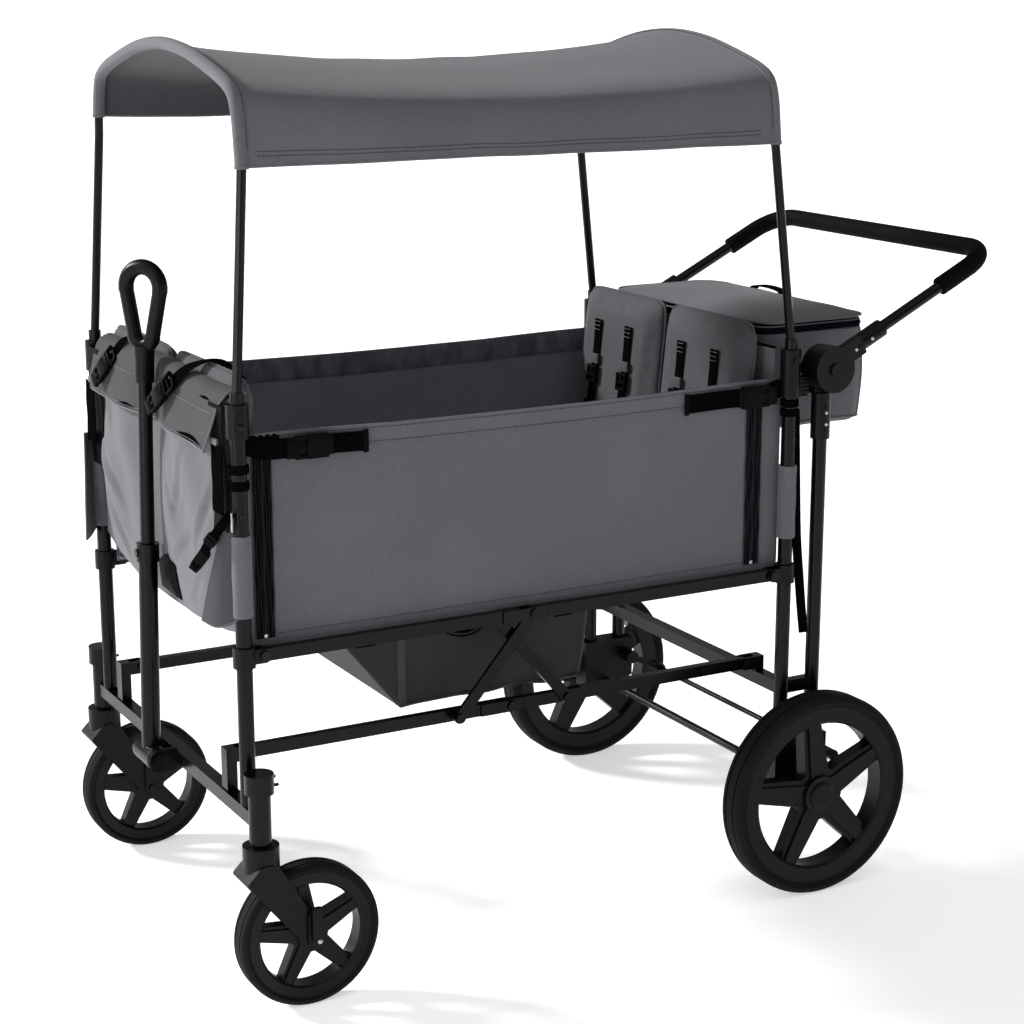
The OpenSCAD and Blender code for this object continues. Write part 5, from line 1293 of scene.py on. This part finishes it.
class WAGON_OT_basket(bpy.types.Operator):
    """Sews the under basket, darkened with painted shade, with its raked front, bound seams, stitched pocket
    mouths and hanging straps
    """

    bl_idname = "wagon.basket"
    bl_label = "Sew the under basket"

    def execute(self, context):
        body = "front_frame"
        low, high = corners("under_basket")
        bottom, tall, half = low.z + 16, 124.0, 163.5
        x0, x1, front_rake, rear_rake = MID_X - 145, MID_X + 129, 101.0, 15.0
        fold = ((1, 0, 0), (x0 - front_rake, 0, bottom), 0.4)

        def sag(x, y, z):
            return 2.4 * rough(x, y, z, 0.014, 8.0)

        def side(n):
            def at(s, t):
                x = x0 + (x1 + rear_rake * t - x0) * s
                z = bottom + tall * t
                dip = 5 * t * hump(s) * (1 + 0.3 * math.sin(9 * s))
                soft = 5 * (1 - t) * hump(s) * math.sin(7.5 * s) ** 2
                fold_in = 3 * math.exp(-(t / 0.16) ** 2) * math.sin(s * 21)
                bulge = 3 * hump(t) * hump(s)
                return x, n * (half + sag(x, n, z) + bulge - fold_in), z - dip + soft
            return at

        def nose(n):
            def at(s, t):
                a = x0 - front_rake * t
                x, z = a + (x0 - a) * s, bottom + tall * t
                return x, n * (half - 6 * (1 - s) + sag(x, n, z) * s), z
            return at

        def end(x, rake, way):
            def at(s, t):
                y, z = (half - (6 if way < 0 else 0)) * (2 * s - 1), bottom + tall * t
                return x + way * rake * t + way * (3 * hump(s) * t + sag(x, y, z) * t), y, z
            return at

        def floor(s, t):
            x, y = x0 + (x1 - x0) * s, half * (2 * t - 1)
            return x, y, bottom + 1.5 + sag(x, y, 0) * 0.6 - 1.5 * hump(s) * hump(t)

        walls = [sheet(side(-1), 60, 18, 2.0), sheet(side(1), 60, 18, 2.0),
                 sheet(end(x1, rear_rake, 1), 30, 16, 2.0), sheet(floor, 36, 36, 2.0)]
        # The basket's walls and floor are the deep cloth: painted shade under the wagon body
        cloth = piece("under_basket_cloth", walls, "deep", body, fold, ["under_basket"])
        front = [sheet(nose(-1), 20, 16, 2.0), sheet(nose(1), 20, 16, 2.0),
                 sheet(end(x0, front_rake, -1), 30, 16, 2.0)]
        # The raked front is the deep cloth too: painted shade
        dark = piece("under_basket_front", front, "deep", body, fold)
        rims = [piped(lambda k: at(k, 1), 40, 2.4)
                for at in (side(-1), side(1), nose(-1), nose(1), end(x0, front_rake, -1),
                           end(x1, rear_rake, 1))]
        rims += [piped(lambda k: side(n)(k, 0), 60, 2.2) for n in (-1, 1)]
        rims += [piped(lambda k: side(n)(1, k), 16, 2.2) for n in (-1, 1)]
        rims += [piped(lambda k: nose(n)(0, k), 16, 2.0) for n in (-1, 1)]
        corner = [strap([np.array(side(n)(0.0, k / 16)) + vec(2, n * 1.6, 0) for k in range(17)],
                        (1, 0, 0), 11, 2.4) for n in (-1, 1)]
        # The binding is the gray cloth darkened with painted shade
        binding = piece("under_basket_binding", rims + corner, "shade", body, fold)
        rows, shade = [], []
        mouth_at, mouth_half, mouth_deep = 0.335, 0.155, 0.30
        for n in (-1, 1):
            for grow in (1.0, 0.86):
                mouth = [np.array(side(n)(mouth_at + mouth_half * grow * math.cos(a),
                                          1 - mouth_deep * grow * math.sin(a)))
                         + vec(0, n * 1.6, 0) for a in np.linspace(0.0, math.pi, 40)]
                rows.append(tube(mouth, 1.0, 6))
            # Black webbing sheets inside the pocket mouths: painted shade of the openings
            shade.append(sheet(lambda s, t: np.array(side(n)(
                mouth_at + mouth_half * 0.84 * (2 * t - 1),
                1 - mouth_deep * 0.84 * math.sqrt(max(0.0, 1 - (2 * t - 1) ** 2)) * s))
                + vec(0, n * 1.5, 0), 8, 24, 0.8))
        mouths = [piece("basket_pocket_seams", rows, "webbing", body, fold),
                  piece("basket_pocket_mouth_shade", shade, "webbing", body, fold)]
        hangers = []
        for x in (x0 - front_rake + 52, x1 - 26):
            for n in (-1, 1):
                line = [(x, n * (half + 1.6), bottom + tall - 34), (x, n * (half + 2), bottom + tall),
                        (x, n * half, high.z - 1)]
                hangers.append(strap(curve(line, 5), (1, 0, 0), 28))
        straps = piece("under_basket_straps", hangers, "webbing", body, fold)
        base, wall, back = cut_size(floor), cut_size(side(1)), cut_size(end(x1, rear_rake, 1))
        cheek, brow = cut_size(nose(1)), cut_size(end(x0, front_rake, -1))
        return {"FINISHED"}


class WAGON_OT_straps(bpy.types.Operator):
    """Threads the corner straps with their side-release buckles, and the tails at the rear posts"""

    bl_idname = "wagon.straps"
    bl_label = "Thread the corner straps"

    def execute(self, context):
        wide = context.scene.wagon_sizes.webbing / MM
        low, high = corners("corner_straps")
        z = (low.z + high.z) / 2
        bands, clips, bars = [], [], []
        for side in (-1, 1):
            y = side * 252.6
            for start, way, long in ((FRONT_X + 15, 1, 157), (REAR_X - 15, -1, 146)):
                line = curve([(start - way * 4, side * 258, z + 10),
                              (start + way * 18, y + side * 1.5, z + 2),
                              (start + way * 40, y + side * 2.5, z),
                              (start + way * long * 0.62, y + side * 2, z),
                              (start + way * long, y, z - 2)], 6)
                bands.append(strap(line, (0, 0, 1), wide))
                centre = (start + way * (78 if way > 0 else 34), y + side * 6, z)
                clips += buckle(centre, (way, 0, 0), (0, 0, 1), 60, wide + 6, 9)
                bars.append(block((start + way * long, y + side * 1.2, z - 2), (7, 2.2, wide + 4), 0.8))
        tails = []
        for side in (-1, 1):
            line = curve([(REAR_X + x, side * y, z) for x, y, z in (
                (9, 263, 684), (13, 263, 600), (17, 264, 510), (24, 264, 445), (30, 263, 400),
                (36, 262, 362))], 6)
            tails.append(strap(line, (0.88, 0.48 * side, 0), 13))
        piece("rear_strap_tails", tails, "webbing", "rear_frame")
        piece("corner_strap_webbing", bands, "webbing", "front_frame", WALL_FOLD, ["corner_straps"])
        piece("corner_strap_buckles", clips, "clip", "front_frame", WALL_FOLD)
        piece("corner_strap_ends", bars, "tape", "front_frame", WALL_FOLD)
        return {"FINISHED"}


class WAGON_OT_hardware(bpy.types.Operator):
    """Sets the small rivets of the frame and push handle, and a cheek and nut on each caster"""

    bl_idname = "wagon.hardware"
    bl_label = "Set the rivets and screws"

    def execute(self, context):
        screws = {"front_frame": [], "rear_frame": []}
        for side in (-1, 1):
            for proud, z, radius, rise in ((0, 634, 3.2, 1.5), (4.2, 742, 4.4, 2.0)):
                place = (FRONT_X - 0.5, side * (POST_Y + POST_R + proud), z)
                screws["front_frame"].append(rivet(place, (0, side, 0), radius, rise))
            for z in (233, 436):
                place = (REAR_X, side * (POST_Y + POST_R), z)
                screws["rear_frame"].append(rivet(place, (0, side, 0), 3.2, 1.5))
        for body, made in screws.items():
            piece(body + "_rivets", made, "bolts", body)
        arms, studs = [], []
        for side, hand in HANDS:
            arms += [rivet((x, side * 272.5, z), (0, side, 0), 2.6, 1.3)
                     for x, z in ((350.6, 760.3), (377.4, 773.7))]
            studs += [rivet((300.8, side * 275.5, z), (0, side, 0), 2.4, 1.3) for z in (661, 677)]
            cheek = block((-497.2, side * 329.5, 118), (14, 7, 42), 3.2)
            nut = rivet((-493.5, side * 330, 92), (0, side, 0), 3.4, 2.4)
            piece("caster_cheek_" + hand, [cheek], "plastic", "caster_" + hand)
            piece("caster_nut_" + hand, [nut], "zinc", "caster_" + hand)
        piece("push_arm_rivets", arms, "zinc", "push_handle")
        piece("push_post_rivets", studs, "zinc", "rear_frame")
        return {"FINISHED"}


def aim(thing, place, at):
    """Puts a light or the camera at a place, looking at another."""
    thing.location = place
    thing.rotation_euler = (Vector(at) - thing.location).to_track_quat("-Z", "Y").to_euler()


class WAGON_OT_stage(bpy.types.Operator):
    """Lays the pale floor and sets the lights and the camera"""

    bl_idname = "wagon.stage"
    bl_label = "Set the stage"

    def execute(self, context):
        scene = context.scene
        scene.view_settings.view_transform = "Standard"
        mesh = bpy.data.meshes.new("floor")
        r, far, sides = 300.0, 60.0, 64
        mesh.from_pydata([(-r, -r, 0), (r, -r, 0), (r, r, 0), (-r, r, 0)], [], [(0, 1, 2, 3)])
        floor = placed("floor", mesh)
        paint = Finish("pale_floor", Specular_IOR_Level=0.1, Emission_Strength=0.50)
        paint.put("Base Color", paint.cloud(0.8).blend((0.88, 0.88, 0.88, 1), (0.9, 0.9, 0.9, 1)))
        paint.put("Roughness", 0.5 + 0.1 * paint.cloud(3.0))
        paint.put("Emission Color", (1, 1, 1, 1))
        mesh.materials.append(paint.material)
        ring = [(far * math.cos(TAU * k / sides), far * math.sin(TAU * k / sides)) for k in range(sides)]
        mesh = bpy.data.meshes.new("backdrop")
        mesh.from_pydata([(x, y, z) for z in (0, far) for x, y in ring], [],
                         [(k, (k + 1) % sides, (k + 1) % sides + sides, k + sides) for k in range(sides)])
        backdrop = placed("backdrop", mesh)
        backdrop.visible_diffuse = backdrop.visible_glossy = backdrop.visible_shadow = False
        paper = Finish("white_backdrop", Specular_IOR_Level=0.0, Emission_Strength=1.0)
        paper.put("Base Color", paper.cloud(0.1).blend((0.9, 0.9, 0.9, 1), (0.92, 0.92, 0.92, 1)))
        paper.put("Emission Color", (1, 1, 1, 1))
        mesh.materials.append(paper.material)
        world = bpy.data.worlds.new("studio")
        world.use_nodes = True
        world.node_tree.nodes["Background"].inputs["Color"].default_value = (1, 1, 1, 1)
        world.node_tree.nodes["Background"].inputs["Strength"].default_value = 0.27
        scene.world = world
        for name, place, power, soft in (("key", (-0.62, 0.60, 0.46), 4.5, 9),
                                         ("top", (-0.2, -0.5, 0.8), 0.5, 60)):
            lamp = bpy.data.lights.new(name, "SUN")
            lamp.energy = power
            lamp.angle = math.radians(soft)
            aim(placed(name, lamp), (0, 0, 0), -Vector(place))
        lamp = bpy.data.lights.new("softbox", "AREA")
        lamp.shape, lamp.size, lamp.size_y, lamp.energy = "RECTANGLE", 0.5, 2.2, 21.0
        aim(placed("softbox", lamp), (-2.9, -1.2, 1.15), (-0.15, 0, 0.6))
        lens = bpy.data.cameras.new("camera")
        lens.lens = scene.wagon_sizes.lens / MM
        lens.sensor_width = 36.0
        scene.camera = placed("camera", lens)
        aim(scene.camera, (-1.5085, -2.6785, 1.2750), (-0.0400, 0, 0.51785))
        return {"FINISHED"}


OPERATORS = (
    WAGON_OT_finishes, WAGON_OT_canopy, WAGON_OT_walls, WAGON_OT_front_panel, WAGON_OT_rear_panel,
    WAGON_OT_seats, WAGON_OT_floor, WAGON_OT_bag, WAGON_OT_basket, WAGON_OT_straps, WAGON_OT_hardware,
    WAGON_OT_stage,
)


class WAGON_PT_make(bpy.types.Panel):
    """Every step of dressing the wagon, in order"""

    bl_idname = "WAGON_PT_make"
    bl_label = "Wagon"
    bl_space_type = "VIEW_3D"
    bl_region_type = "UI"
    bl_category = "Wagon"

    def draw(self, context):
        for group in (context.scene.wagon_sizes, context.scene.wagon_colours):
            for name in group.__annotations__:
                self.layout.prop(group, name)
        for step in OPERATORS:
            self.layout.operator(step.bl_idname)


CLASSES = (WagonSizes, WagonColours) + OPERATORS + (WAGON_PT_make,)


def register():
    for made in CLASSES:
        bpy.utils.register_class(made)
    bpy.types.Scene.wagon_sizes = bpy.props.PointerProperty(type=WagonSizes)
    bpy.types.Scene.wagon_colours = bpy.props.PointerProperty(type=WagonColours)


def unregister():
    del bpy.types.Scene.wagon_colours
    del bpy.types.Scene.wagon_sizes
    for made in reversed(CLASSES):
        bpy.utils.unregister_class(made)


def main():
    register()
    for step in OPERATORS:
        group, name = step.bl_idname.split(".")
        getattr(getattr(bpy.ops, group), name)()
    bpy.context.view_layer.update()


if __name__ == "__main__":
    main()
